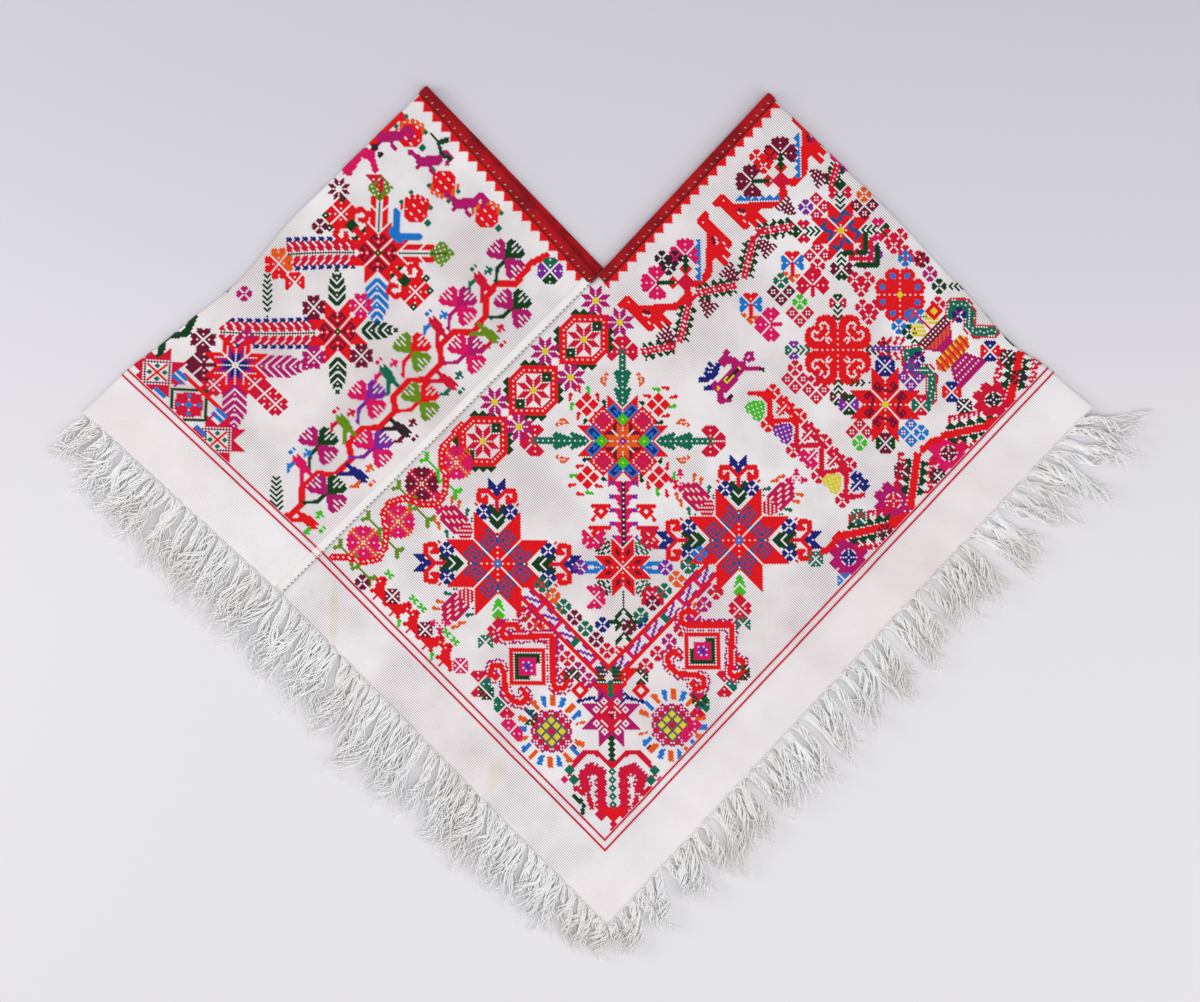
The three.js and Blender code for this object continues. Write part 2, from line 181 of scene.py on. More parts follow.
def length_at(panel, along, on_back):
    if not on_back:
        return along - PANELS[panel]["front_start"]
    return fold_start(panel) + FOLD_LENGTH + NECK_SIDE - FOLD_RADIUS - along


def wall_middle(panel, length, across):
    length, across = np.broadcast_arrays(np.asarray(length, float), np.asarray(across, float))
    front = fold_start(panel)
    on_fold = (length > front) & (length < front + FOLD_LENGTH)
    angle = np.pi / 2 - (length - front) / FOLD_RADIUS
    flat = along_at(panel, length, length > front)
    along = np.where(on_fold, NECK_SIDE - FOLD_RADIUS * (1 - np.cos(angle)), flat)
    on_back = np.where(on_fold, angle < 0, length >= front + FOLD_LENGTH)
    from_neck = np.where(along >= 0, np.abs(across), np.hypot(along, across))
    at_neck = ease_out(from_neck, NECK_FLAT, NECK_REACH)
    at_fold = ease_out(NECK_SIDE - along, FOLD_RADIUS, FOLD_REACH)
    flat_apart = CLOTH + GAP
    apart = flat_apart + 2 * NECK_LIFT * at_neck * (1 - at_fold)
    apart = apart + (2 * FOLD_RADIUS - flat_apart) * at_fold
    crease = crease_height(along, across) if panel == "right" else crease_height(-across, -along)
    raised = apart + crease * (1 - at_fold) * (1 - at_neck)
    rounded = FOLD_RADIUS * (1 + np.sin(angle))
    height = CLOTH / 2 + NECK_LIFT * at_neck
    height = height + np.where(on_fold, rounded, np.where(on_back, 0, raised))
    return np.concatenate([plan_point(panel, on_back, along, across), height[..., None]], axis=-1)


def wall_frame(panel, length, across):
    """The wall's middle, its directions for each millimetre along and across, and its outward normal."""
    step = 0.4
    along = wall_middle(panel, length + step, across) - wall_middle(panel, length - step, across)
    aside = wall_middle(panel, length, across + step) - wall_middle(panel, length, across - step)
    normal = np.cross(along, aside) * PANELS[panel]["outward"]
    normal /= np.linalg.norm(normal, axis=-1, keepdims=True)
    return wall_middle(panel, length, across), along / (2 * step), aside / (2 * step), normal


def wall_point(panel, length, across, out):
    middle, _, _, normal = wall_frame(panel, length, across)
    return middle + normal * np.asarray(out)[..., None]


PANEL_LENGTH = length_at("right", SEAM, True)
print("each panel is", round(PANEL_LENGTH), "mm long and", PANEL_WIDTH, "mm wide")

# %% [markdown]
# ## Materials
# Every finish here is matt: cotton cloth, cotton tape, stranded thread and unravelled yarn. Their
# colour barely changes, so what makes them read as cloth is relief at the right scale. Shader maths
# is written as Python expressions through a small class that wraps a node's output.


# %% A value in a material, and the material that holds it
class Value:
    def __init__(self, finish, socket):
        self.finish, self.socket = finish, socket

    def math(self, operation, *values):
        return self.finish.node("ShaderNodeMath", {"operation": operation}, values)

    def __add__(self, other):
        return self.math("ADD", self, other)

    def __sub__(self, other):
        return self.math("SUBTRACT", self, other)

    def __rsub__(self, other):
        return self.math("SUBTRACT", other, self)

    def __mul__(self, other):
        return self.math("MULTIPLY", self, other)

    def __pow__(self, other):
        return self.math("POWER", self, other)

    def cosine(self):
        return self.math("COSINE", self)

    __radd__ = __add__
    __rmul__ = __mul__


class Finish:
    """A Principled material. Its settings are the shader's own, the same all over the surface."""

    def __init__(self, name, **settings):
        self.material = bpy.data.materials.new(name)
        self.material.use_nodes = True
        self.tree = self.material.node_tree
        self.shader = self.tree.nodes["Principled BSDF"]
        for socket, value in settings.items():
            self.shader.inputs[socket.replace("_", " ")].default_value = value

    def node(self, kind, settings=None, inputs=(), output=0):
        made = self.tree.nodes.new(kind)
        for key, value in (settings or {}).items():
            setattr(made, key, value)
        pairs = inputs.items() if isinstance(inputs, dict) else enumerate(inputs)
        for key, value in pairs:
            self.feed(made.inputs[key], value)
        return Value(self, made.outputs[output])

    def feed(self, socket, value):
        if isinstance(value, Value):
            self.tree.links.new(value.socket, socket)
        else:
            socket.default_value = value

    def object_place(self):
        return self.node("ShaderNodeTexCoord", output="Object")

    def first_two(self, place):
        """The first two numbers of a place."""
        split = self.node("ShaderNodeSeparateXYZ", inputs={0: place})
        return split, Value(self, split.socket.node.outputs[1])

    def sheet_place(self, length, width):
        """The piece's own map, in millimetres along and across the cloth."""
        along, across = self.first_two(self.node("ShaderNodeUVMap", {"uv_map": CLOTH_MAP}))
        return along * length, across * width

    def noise(self, place, scale, detail=2.0):
        return self.node("ShaderNodeTexNoise", inputs={"Vector": place, "Scale": scale, "Detail": detail})

    def fade(self, value, low, high, to_low=0.0, to_high=1.0):
        return self.node("ShaderNodeMapRange", {"interpolation_type": "SMOOTHSTEP"},
                         [value, low, high, to_low, to_high])

    def blend(self, amount, first, second):
        return self.node("ShaderNodeMix", {"data_type": "RGBA"}, {0: amount, 6: first, 7: second}, output=2)

    def bump(self, height, strength, distance):
        normal = self.node("ShaderNodeBump", inputs={"Height": height, "Strength": strength,
                                                     "Distance": distance})
        self.feed(self.shader.inputs["Normal"], normal)

    def colour(self, value):
        self.feed(self.shader.inputs["Base Color"], value)


CLOTH_MAP = "OFBake"
STITCH = 1.7  # the pitch of the counted thread, in millimetres


def paint(red, green, blue):
    """A colour as the eye reads it, from 0 to 255, as the shader needs it."""
    shares = np.array([red, green, blue]) / 255
    linear = np.where(shares <= 0.04045, shares / 12.92, ((shares + 0.055) / 1.055) ** 2.4)
    return (*(float(x) for x in linear), 1.0)


# %% Cotton cloth
# The weave is an even one with a rib for each stitch, and holes where the threads cross. The ribs
# run across the panel, so their gaps show as fine dark slanting lines: painted shade in the gaps,
# together with the dark seen through the holes. Near the hem the weave is closer. Two darker cream
# patches lie in the margin, each with a place, a lean, and half its length and width.
CREAM_PATCHES = (((-0.2415, -0.081), 0.03, 0.033, 0.0045), ((-0.096, -0.2245), 0.4, 0.017, 0.008))  # metres
CLOSER, OPEN = 372.0, 340.0  # millimetres across the panel


def cotton_cloth():
    finish = Finish("natural cotton cloth", Roughness=0.92, Sheen_Weight=0.25, Sheen_Roughness=0.6,
                    Specular_IOR_Level=0.25)
    along, across = finish.sheet_place(PANEL_LENGTH, PANEL_WIDTH)
    turns = 2 * np.pi / STITCH
    rib = (along * turns).cosine() * 0.5 + 0.5
    thread = (across * turns).cosine() * 0.5 + 0.5
    spot = finish.object_place()
    worn = finish.noise(spot, 14.0, 4.0)
    inside = finish.fade(across, CLOSER, OPEN) * 0.6 + 0.4
    # The dark of the gaps between ribs is painted shade, together with the dark seen through the holes.
    gap_shade_and_holes = (rib ** 2.8) * (thread * 0.14 + 0.86) * finish.fade(worn, 0.3, 0.7, 0.14, 0.95) * inside
    ground = finish.blend(finish.fade(finish.noise(spot, 5.0, 3.0), 0.35, 0.75),
                          paint(250, 245, 245), paint(243, 232, 232))
    east, north = finish.first_two(spot)
    # Two darker cream patches, each an oval that leans, blended into the ground.
    for (x, y), lean, half_length, half_width in CREAM_PATCHES:
        down = (north - y) * (1 / half_length)
        beside = (east - x - (north - y) * lean) * (1 / half_width)
        cream_patch = finish.fade(down * down + beside * beside, 1.3, 0.1)
        ground = finish.blend(cream_patch * 0.5, ground, paint(240, 226, 204))
    finish.colour(finish.blend(gap_shade_and_holes, ground, paint(92, 68, 76)))
    finish.bump(rib * -0.6 + thread * -0.3 + finish.noise(spot, 900.0) * 0.3, 0.5, 0.0004)
    return finish.material


def smooth_hem():
    finish = Finish("turned hem", Roughness=0.9, Sheen_Weight=0.2, Specular_IOR_Level=0.25)
    spot = finish.object_place()
    finish.colour(finish.blend(finish.noise(spot, 60.0, 3.0), paint(250, 247, 245), paint(236, 229, 224)))
    finish.bump(finish.noise(spot, 700.0, 3.0), 0.35, 0.0004)
    return finish.material


# %% Cotton tape, yarn and thread
TAPE_RIB = 0.9  # from rib to rib of the tape's own weave, in millimetres


def neck_tape():
    finish = Finish("red cotton tape", Roughness=0.8, Sheen_Weight=0.02, Specular_IOR_Level=0.25)
    along, _ = finish.sheet_place(PANEL_LENGTH, TAPE_WIDTH)
    rib = (along * (2 * np.pi / TAPE_RIB)).cosine()
    spot = finish.object_place()
    wear = finish.fade(finish.noise(spot, 45.0, 4.0), 0.35, 0.7)
    finish.colour(finish.blend(wear, paint(186, 4, 22), paint(132, 2, 16)))
    finish.bump(rib * 0.35 + finish.noise(spot, 500.0, 3.0), 0.45, 0.0005)
    return finish.material


def fringe_yarn():
    finish = Finish("unravelled cotton yarn", Roughness=0.95, Sheen_Weight=1.0, Sheen_Roughness=0.5,
                    Specular_IOR_Level=0.3)
    spot = finish.object_place()
    age = finish.fade(finish.noise(spot, 9.0, 3.0), 0.4, 0.75)
    finish.colour(finish.blend(age, paint(255, 254, 253), paint(246, 241, 235)))
    finish.bump(finish.noise(spot, 1400.0, 3.0), 0.5, 0.0005)
    return finish.material


def thread_finish(name, shade):
    """Stranded thread, a little lighter where it is worn."""
    finish = Finish(f"{name} thread", Roughness=0.75, Sheen_Weight=0.05, Specular_IOR_Level=0.2)
    spot = finish.object_place()
    fuzz = finish.noise(spot, 420.0, 2.0)
    light = tuple(min(255, value * 1.04 + 3) for value in shade)
    deep = tuple(value * 0.86 for value in shade)
    finish.colour(finish.blend(fuzz, paint(*deep), paint(*light)))
    finish.bump(finish.noise(spot, 2600.0, 2.0), 0.4, 0.0003)
    return finish.material


cloth_material, hem_material = cotton_cloth(), smooth_hem()
tape_material, yarn_material = neck_tape(), fringe_yarn()
print("cloth, hem, tape and yarn materials made")


# %% [markdown]
# ## Meshes from arrays
# Cloth, yarn and some tens of thousands of stitches are all sheets and small repeated shapes, so
# their points are worked out as arrays and handed over to a mesh in one go.

# %% One mesh object from its points and faces
def add_piece(name, points, faces, material, places, smooth=True):
    """points in millimetres, faces all triangles or all quads, places are the map's, one a point."""
    mesh = bpy.data.meshes.new(name)
    mesh.vertices.add(len(points))
    mesh.vertices.foreach_set("co", (np.asarray(points) * MM).astype(np.float32).ravel())
    mesh.loops.add(faces.size)
    mesh.loops.foreach_set("vertex_index", faces.astype(np.int32).ravel())
    mesh.polygons.add(len(faces))
    mesh.polygons.foreach_set("loop_start", np.arange(0, faces.size, faces.shape[1], dtype=np.int32))
    mesh.polygons.foreach_set("use_smooth", np.full(len(faces), smooth))
    uv = mesh.uv_layers.new(name=CLOTH_MAP)
    uv.data.foreach_set("uv", np.asarray(places, np.float32)[faces.ravel()].ravel())
    mesh.materials.append(material)
    mesh.update(calc_edges=True)
    piece = bpy.data.objects.new(name, mesh)
    bpy.context.scene.collection.objects.link(piece)
    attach(piece, "root")
    return piece


def grid_faces(rows, columns, closed=False):
    """Quads between the points of a grid, whose rows may each close on themselves."""
    i, j = np.meshgrid(np.arange(rows - 1), np.arange(columns if closed else columns - 1), indexing="ij")
    start, next_start = i.ravel() * columns, (i.ravel() + 1) * columns
    j, next_j = j.ravel(), (j.ravel() + 1) % columns
    return np.stack([start + j, start + next_j, next_start + next_j, next_start + j], axis=1)


def outward_faces(points, faces):
    """Turns all the faces of a closed mesh if they point in."""
    corners = points[faces]
    spans = np.cross(corners[:, 1] - corners[:, 0], corners[:, -1] - corners[:, 0])
    middle = points.mean(axis=0)
    volume = np.einsum("ij,ij->", spans, corners.mean(axis=1) - middle)
    return faces if volume > 0 else faces[:, ::-1]


# %% [markdown]
# ## The two panels
# A panel is one sheet. It is made as a closed shell: a grid on its outer face, the same grid on its
# inner face, and a rim of faces round the edge. It is thinner than the CAD wall, which also makes
# room for the stitches on it.

# %% The cloth
OUTER, INNER = 0.12, -0.5  # the cloth's faces, from the wall's middle
CLOTH_STEP = 4.5
FOLD_ROWS = 9


def cloth_lengths(panel):
    front, back = fold_start(panel), fold_start(panel) + FOLD_LENGTH
    before = np.linspace(0, front, int(np.ceil(front / CLOTH_STEP)), endpoint=False)
    turn = np.linspace(front, back, FOLD_ROWS)
    after = np.linspace(back, PANEL_LENGTH, int(np.ceil((PANEL_LENGTH - back) / CLOTH_STEP)))[1:]
    return np.concatenate([before, turn, after])


def cloth_grid(panel):
    lengths = cloth_lengths(panel)
    places = np.linspace(SEAM, PANEL_WIDTH, int(PANEL_WIDTH / CLOTH_STEP))
    return lengths, places, wall_frame(panel, *np.meshgrid(lengths, places, indexing="ij"))


GRIDS = {panel: cloth_grid(panel) for panel in PANELS}


def cloth_frame(panel, length, across):
    """As wall_frame, but read from the cloth's own grid, so that thread lies on its flat faces."""
    lengths, places, fields = GRIDS[panel]
    i = np.clip(np.searchsorted(lengths, length) - 1, 0, len(lengths) - 2)
    j = np.clip(np.searchsorted(places, across) - 1, 0, len(places) - 2)
    s = ((length - lengths[i]) / (lengths[i + 1] - lengths[i]))[..., None]
    t = ((across - places[j]) / (places[j + 1] - places[j]))[..., None]
    near, far = ([f[i, k] * (1 - s) + f[i + 1, k] * s for f in fields] for k in (j, j + 1))
    return [one * (1 - t) + other * t for one, other in zip(near, far)]


def cloth_piece(panel):
    lengths, places, (middle, _, _, normal) = GRIDS[panel]
    along, across = np.meshgrid(lengths, places, indexing="ij")
    rows, columns = along.shape
    outer = (middle + normal * OUTER).reshape(-1, 3)
    inner = (middle + normal * INNER).reshape(-1, 3)
    sheet = grid_faces(rows, columns)
    far = rows * columns
    edge = np.concatenate([np.arange(columns), np.arange(2, rows + 1) * columns - 1,
                           far - 2 - np.arange(columns - 1), (rows - 2 - np.arange(rows - 2)) * columns])
    after = np.roll(edge, -1)
    rim = np.stack([edge, edge + far, after + far, after], axis=1)
    points = np.concatenate([outer, inner])
    faces = outward_faces(points, np.concatenate([sheet, sheet[:, ::-1] + far, rim]))
    plan = np.stack([along / PANEL_LENGTH, across / PANEL_WIDTH], axis=-1).reshape(-1, 2)
    piece = add_piece(f"{panel}_cloth", points, faces, cloth_material, np.concatenate([plan, plan]))
    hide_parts(f"{panel}_panel")
    return piece


cloths = {panel: cloth_piece(panel) for panel in ("left", "right")}
for panel, piece in cloths.items():
    print(piece.name, len(piece.data.polygons) * 2, "triangles")

# %% [markdown]
# ## The turned end beside the seam
# The short end of each panel is turned under before it is sewn to its neighbour, which leaves a
# smooth, slightly raised band with no ribs. It is a narrow strip that follows the cloth, closed at
# its edges, a little out from the outer face.

# %% The turned ends
TURNED_WIDTH = 8.6
TURNED_STEP = 5.0
TURNED_SECTION = [(0.0, 0.0), (0.03, 0.42), (0.5, 0.5), (0.93, 0.42), (1.0, 0.0), (0.5, 0.05)]


def turned_end(panel, on_back):
    """A closed band. Its section is a list of (share of the width, how far out)."""
    first, second = (length_at(panel, along, on_back) for along in (SEAM, TURNED_WIDTH))
    start, end = TAPE_WIDTH + 1, PANEL_WIDTH - 1
    profile = np.array(TURNED_SECTION)
    count = int((end - start) / TURNED_STEP)
    across = np.linspace(start, end, count)[:, None]
    length = first + (second - first) * profile[None, :, 0]
    length, across = np.broadcast_arrays(length, across)
    out = np.broadcast_to(profile[None, :, 1], length.shape)
    points = wall_point(panel, length, across, out).reshape(-1, 3)
    around = profile.shape[0]
    faces = grid_faces(count, around, closed=True)
    ends = np.array([[0, 1, 2, 3], [3, 4, 5, 0]])
    last = (count - 1) * around
    faces = outward_faces(points, np.concatenate([faces, ends, ends[:, ::-1] + last]))
    plan = np.stack([profile[None, :, 0] * 0.02 + 0 * across, across / PANEL_WIDTH], axis=-1)
    return add_piece(f"{panel}_turned_end", points, faces, hem_material, plan.reshape(-1, 2))


turned_ends = {panel: turned_end(panel, on_back) for panel, on_back in (("left", False), ("right", True))}
print("turned ends:", list(turned_ends))

# %% [markdown]
# ## The neck binding
# Red cotton tape is folded over the raw neck edge and sewn down, and each stitch pulls it in a
# little, so it looks puffy. Its section is a rounded C that runs up one side of the neck, over the
# shoulder and down the back, and its thickness swells between the stitches.

# %% The bindings
BINDING_STITCH = 7.5
BINDING_STEP = 1.9
MOST_OUT = 1.98
binding_half = [(8.0, 0.95), (7.7, 1.35), (6.9, 1.62), (5.4, 1.86), (3.4, 1.93), (1.5, 1.9),
                (0.2, 1.65), (-0.7, 1.1), (-1.12, 0.4)]
binding_section = np.array(
    binding_half + [(across, -out) for across, out in reversed(binding_half)]
    + [(8.0, -0.72), (0.15, -0.72), (0.15, 0.72), (8.0, 0.72)]
)


def binding_piece(panel):
    in_front = panel == "left"
    start = length_at(panel, 2 * SEAM if in_front else TAPE_START, False)
    end = length_at(panel, TAPE_START if in_front else 2 * SEAM, True)
    lengths = np.linspace(start, end, int((end - start) / BINDING_STEP))[:, None]
    swell = 1 + 0.055 * np.cos(2 * np.pi * lengths / BINDING_STITCH) + 0.03 * np.sin(lengths / 5.3)
    rounded = np.abs(binding_section[None, :, 1]) > 0.8
    out = np.clip(binding_section[None, :, 1] * np.where(rounded, swell, 1), -MOST_OUT, MOST_OUT)
    across = binding_section[None, :, 0] + np.where(rounded, 0.12 * np.sin(lengths / 3.1), 0)
    points = wall_point(panel, *np.broadcast_arrays(lengths, across), out).reshape(-1, 3)
    around = len(binding_section)
    faces = grid_faces(len(lengths), around, closed=True)
    half = around // 2
    ring = np.arange(around)
    caps = np.stack([ring[:half - 1], ring[1:half], (around - 2 - ring[:half - 1]),
                     (around - 1 - ring[:half - 1])], axis=1)
    last = (len(lengths) - 1) * around
    faces = outward_faces(points, np.concatenate([faces, caps[:, ::-1], caps + last]))
    plan = np.stack([lengths / PANEL_LENGTH + 0 * across, np.arange(around)[None] / around + 0 * lengths],
                    axis=-1)
    piece = add_piece(f"{panel}_neck_tape", points, faces, tape_material, plan.reshape(-1, 2))
    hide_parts(f"neck_binding_{panel}")
    return piece


bindings = {panel: binding_piece(panel) for panel in ("left", "right")}
print("bindings:", [len(piece.data.polygons) for piece in bindings.values()], "faces")

# %% [markdown]
# ## The fringe
# The hem's last cross threads are pulled out, and what is left hangs in locks of loose yarn. Each
# lock here is a bundle of thin four-sided yarns. They leave the cloth side by side, draw together,
# twist round each other a little and come apart at their curly ends.

# %% How the locks lie
LOCKS_PER_PANEL = 104
LOCK_SPACING = (PANEL_LENGTH + PANEL_WIDTH) / LOCKS_PER_PANEL
LOCK_LAY = {  # places round the hem from a shoulder to the lowest corner, headings and lengths
    "right": ((0, 0.12, 0.3, 0.6, 0.85, 1), (-4, -28, -46, -50, -62, -80), (62, 66, 56, 60, 50, 32)),
    "left": ((0, 0.08, 0.3, 0.6, 0.85, 1), (30, 52, 62, 66, 72, 82), (42, 62, 68, 72, 58, 32)),
}
YARNS, YARN_RINGS, YARN_SIDES = 12, 12, 4
YARN_RADIUS = 0.82
CURL = {"right": 0.45, "left": 1.0}
FLOOR_IN_FRONT, FLOOR_ON_BACK, TABLE_CLEAR = 2.3, 0.3, 0.05
chance = np.random.default_rng(12)


def fringe_piece(name, node, edge_point, places, hem, on_back, index):
    """edge_point gives points just inside the cloth's edge. The rest has one value a lock."""
    spacing = places[1] - places[0]
    root = edge_point(places)
    edge = edge_point(places + 1) - root
    edge /= np.linalg.norm(edge, axis=-1, keepdims=True)
    right = root[:, 0] > CORNERS["bottom"][0]
    lay = {side: [look_up(hem, rows[0], row) for row in rows[1:]] for side, rows in LOCK_LAY.items()}
    heading = np.where(right, lay["right"][0], lay["left"][0] + 180)
    heading = np.radians(heading + 4 * np.sin(index * 2.4) + chance.normal(0, 5.5, len(index)))
    length = np.where(right, lay["right"][1], lay["left"][1])
    length = length * (1 + 0.1 * np.sin(index * 1.9) + 0.08 * np.sin(index * 0.7))
    length, right, on_back, each = (values[:, None, None] for values in (length, right, on_back, index))
    curl = np.where(right, CURL["right"], CURL["left"])
    floor = np.where(on_back, FLOOR_ON_BACK, FLOOR_IN_FRONT)

    locks = len(index)
    shape = (locks, YARNS, YARN_RINGS)
    t = np.broadcast_to(np.linspace(0, 1, YARN_RINGS), shape)
    along_edge = (np.arange(YARNS) + 0.5) / YARNS - 0.5
    one = lambda low, high: chance.uniform(low, high, (locks, YARNS, 1))
    lock = lambda low, high: chance.uniform(low, high, (locks, 1, 1))
    own_length = length * one(0.62, 1.08)
    together = np.clip(t ** 0.5 * (3 - 2 * t ** 0.5), 0, 1)
    ahead = np.stack([np.cos(heading), np.sin(heading), 0 * heading], axis=-1)
    aside = np.stack([-ahead[:, 1], ahead[:, 0], 0 * heading], axis=-1)
    root, edge, ahead, aside = (vector[:, None, None] for vector in (root, edge, ahead, aside))
    bundle = lock(1.6, 3.8) * (1 + 1.1 * t ** 3)
    turn = 2 * np.pi * (one(0, 1) + lock(0.6, 1.8) * t)
    wave = curl * lock(1.4, 4.6) * t * np.sin(2 * np.pi * (lock(1.1, 2.4) * t + lock(0, 1)))
    own_wave = one(0.2, 1.5) * t ** 1.5 * np.sin(2 * np.pi * (one(1.5, 3.5) * t + one(0, 1)))
    bend = 2.4 * np.sin(each * 1.3) * np.sin(np.pi * t)
    sideways = bend + (wave + own_wave * (0.5 + curl)) + bundle * np.cos(turn) * together
    spread = along_edge[None, :, None] * spacing * (1 - together)
    hook = one(0.0, 0.16) * curl * np.clip(t - 0.8, 0, 1) ** 2 * 25
    gather = (each % 3 - 1) * -spacing * (0.35 + 0.3 * curl)  # the locks lean together in threes
    points = root + edge * spread[..., None]
    points = points + edge * (gather * ease_out(1 - t, 0, 1) ** 2)[..., None]
    points = points + ahead * (own_length * (t - hook * 0.4))[..., None]
    points = points + aside * (sideways + hook * one(-9, 9))[..., None]
    drop = ease_out(t, 0, 0.24)
    lift = bundle * 0.55 * (1 + np.sin(turn)) * together + one(0, 0.9) * t
    resting = floor + YARN_RADIUS + lift
    points[..., 2] = root[..., 2] * drop + resting * (1 - drop)

    run = np.gradient(points, axis=2)
    run /= np.linalg.norm(run, axis=-1, keepdims=True)
    side = np.cross(run, [0.0, 0.0, 1.0])
    side /= np.linalg.norm(side, axis=-1, keepdims=True)
    over = np.cross(side, run)
    radius = YARN_RADIUS * (1 - 0.45 * t ** 2) * one(0.75, 1.15)
    corners = [points + radius[..., None] * (side * np.cos(a) + over * np.sin(a))
               for a in np.radians([45, 135, 225, 315])]
    rings = np.stack(corners, axis=3)
    rings[..., 2] = np.maximum(rings[..., 2], TABLE_CLEAR)
    tube = grid_faces(YARN_RINGS, YARN_SIDES, closed=True)
    tube = np.concatenate([tube[:, [0, 1, 2]], tube[:, [0, 2, 3]]])
    tip = (YARN_RINGS - 1) * YARN_SIDES
    tube = np.concatenate([tube, [[2, 1, 0], [3, 2, 0], [tip, tip + 1, tip + 2], [tip, tip + 2, tip + 3]]])
    tube = outward_faces(rings[0, 0].reshape(-1, 3), tube)
    count = locks * YARNS
    faces = (tube[None] + (np.arange(count) * YARN_RINGS * YARN_SIDES)[:, None, None]).reshape(-1, 3)
    strand = np.arange(count).reshape(locks, YARNS, 1, 1)
    map_u = (strand + 0.2 + 0.2 * np.arange(YARN_SIDES)) / count + 0 * t[..., None]
    map_v = t[..., None] + 0 * map_u
    plan = np.stack([map_u, map_v], axis=-1).reshape(-1, 2)
    piece = add_piece(name, rings.reshape(-1, 3), faces, yarn_material, plan)
    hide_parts(node)
    return piece


# %% The fringe of each long side and each short end
def side_fringe(panel):
    index = np.arange(int(PANEL_LENGTH / LOCK_SPACING + 0.5))
    places = (index + 0.5) * LOCK_SPACING
    on_back = places > fold_start(panel) + FOLD_LENGTH / 2
    along = along_at(panel, places, on_back)
    kept = (NECK_SIDE - along >= FOLD_RADIUS + 4) & (places < PANEL_LENGTH)
    hem = (NECK_SIDE - along) / (NECK_SIDE + PANEL_WIDTH)
    edge_point = lambda place: wall_point(panel, place, PANEL_WIDTH - 1 + 0 * place, 0 * place)
    return fringe_piece(f"{panel}_side_yarn", f"{panel}_side_fringe", edge_point, places[kept],
                        hem[kept], on_back[kept], index[kept])


def end_fringe(panel):
    on_back = panel == "left"
    end = length_at(panel, -PANEL_WIDTH, on_back)
    inside = -1 if on_back else 1
    index = np.arange(int(PANEL_WIDTH / LOCK_SPACING + 0.5))
    places = (index + 0.5) * LOCK_SPACING
    hem = (NECK_SIDE + places) / (NECK_SIDE + PANEL_WIDTH)
    edge_point = lambda place: wall_point(panel, end + inside + 0 * place, place, 0 * place)
    return fringe_piece(f"{panel}_end_yarn", f"{panel}_end_fringe", edge_point, places, hem,
                        np.full(len(index), on_back), index)


fringes = [make(panel) for panel in ("right", "left") for make in (side_fringe, end_fringe)]
for piece in fringes:
    print(piece.name, len(piece.data.polygons), "triangles")

# %% [markdown]
# ## Counted thread
# The embroidery is counted on the weave, 1.7 mm to a stitch, so it is drawn here as its maker
# would chart it: on squares. u counts stitches from the point of the V towards the wearer's neck
# edge on the right, and v towards the one on the left. The picture's north is where both grow.
# The motifs are of the kinds that this embroidery has by tradition: stars, the tree, vines, birds
# and animals. Each is charted afresh, from rules and small charts, at about its place and size.

# %% Thread colours and the counted cloth
THREADS = {
    "r": ("red", (240, 6, 20)), "c": ("crimson", (222, 4, 52)), "h": ("hot_pink", (232, 6, 100)),
    "m": ("magenta", (190, 10, 110)), "w": ("wine", (120, 4, 46)), "g": ("dark_green", (6, 62, 22)),
    "l": ("leaf_green", (70, 200, 30)), "o": ("olive", (108, 148, 16)), "t": ("teal", (6, 112, 84)),
    "b": ("blue", (22, 124, 212)), "n": ("navy", (22, 30, 124)), "p": ("purple", (134, 34, 162)),
    "O": ("orange", (246, 92, 14)), "y": ("yellow", (236, 218, 40)), "k": ("charcoal", (48, 30, 40)),
    "s": ("steel_blue", (44, 78, 140)),
}
LETTERS = " " + "".join(THREADS)
UNPICKED = 255
HALF = 256
counted = np.zeros((2 * HALF, 2 * HALF), np.uint8)


def code(letter):
    return UNPICKED if letter == "." else LETTERS.index(letter)


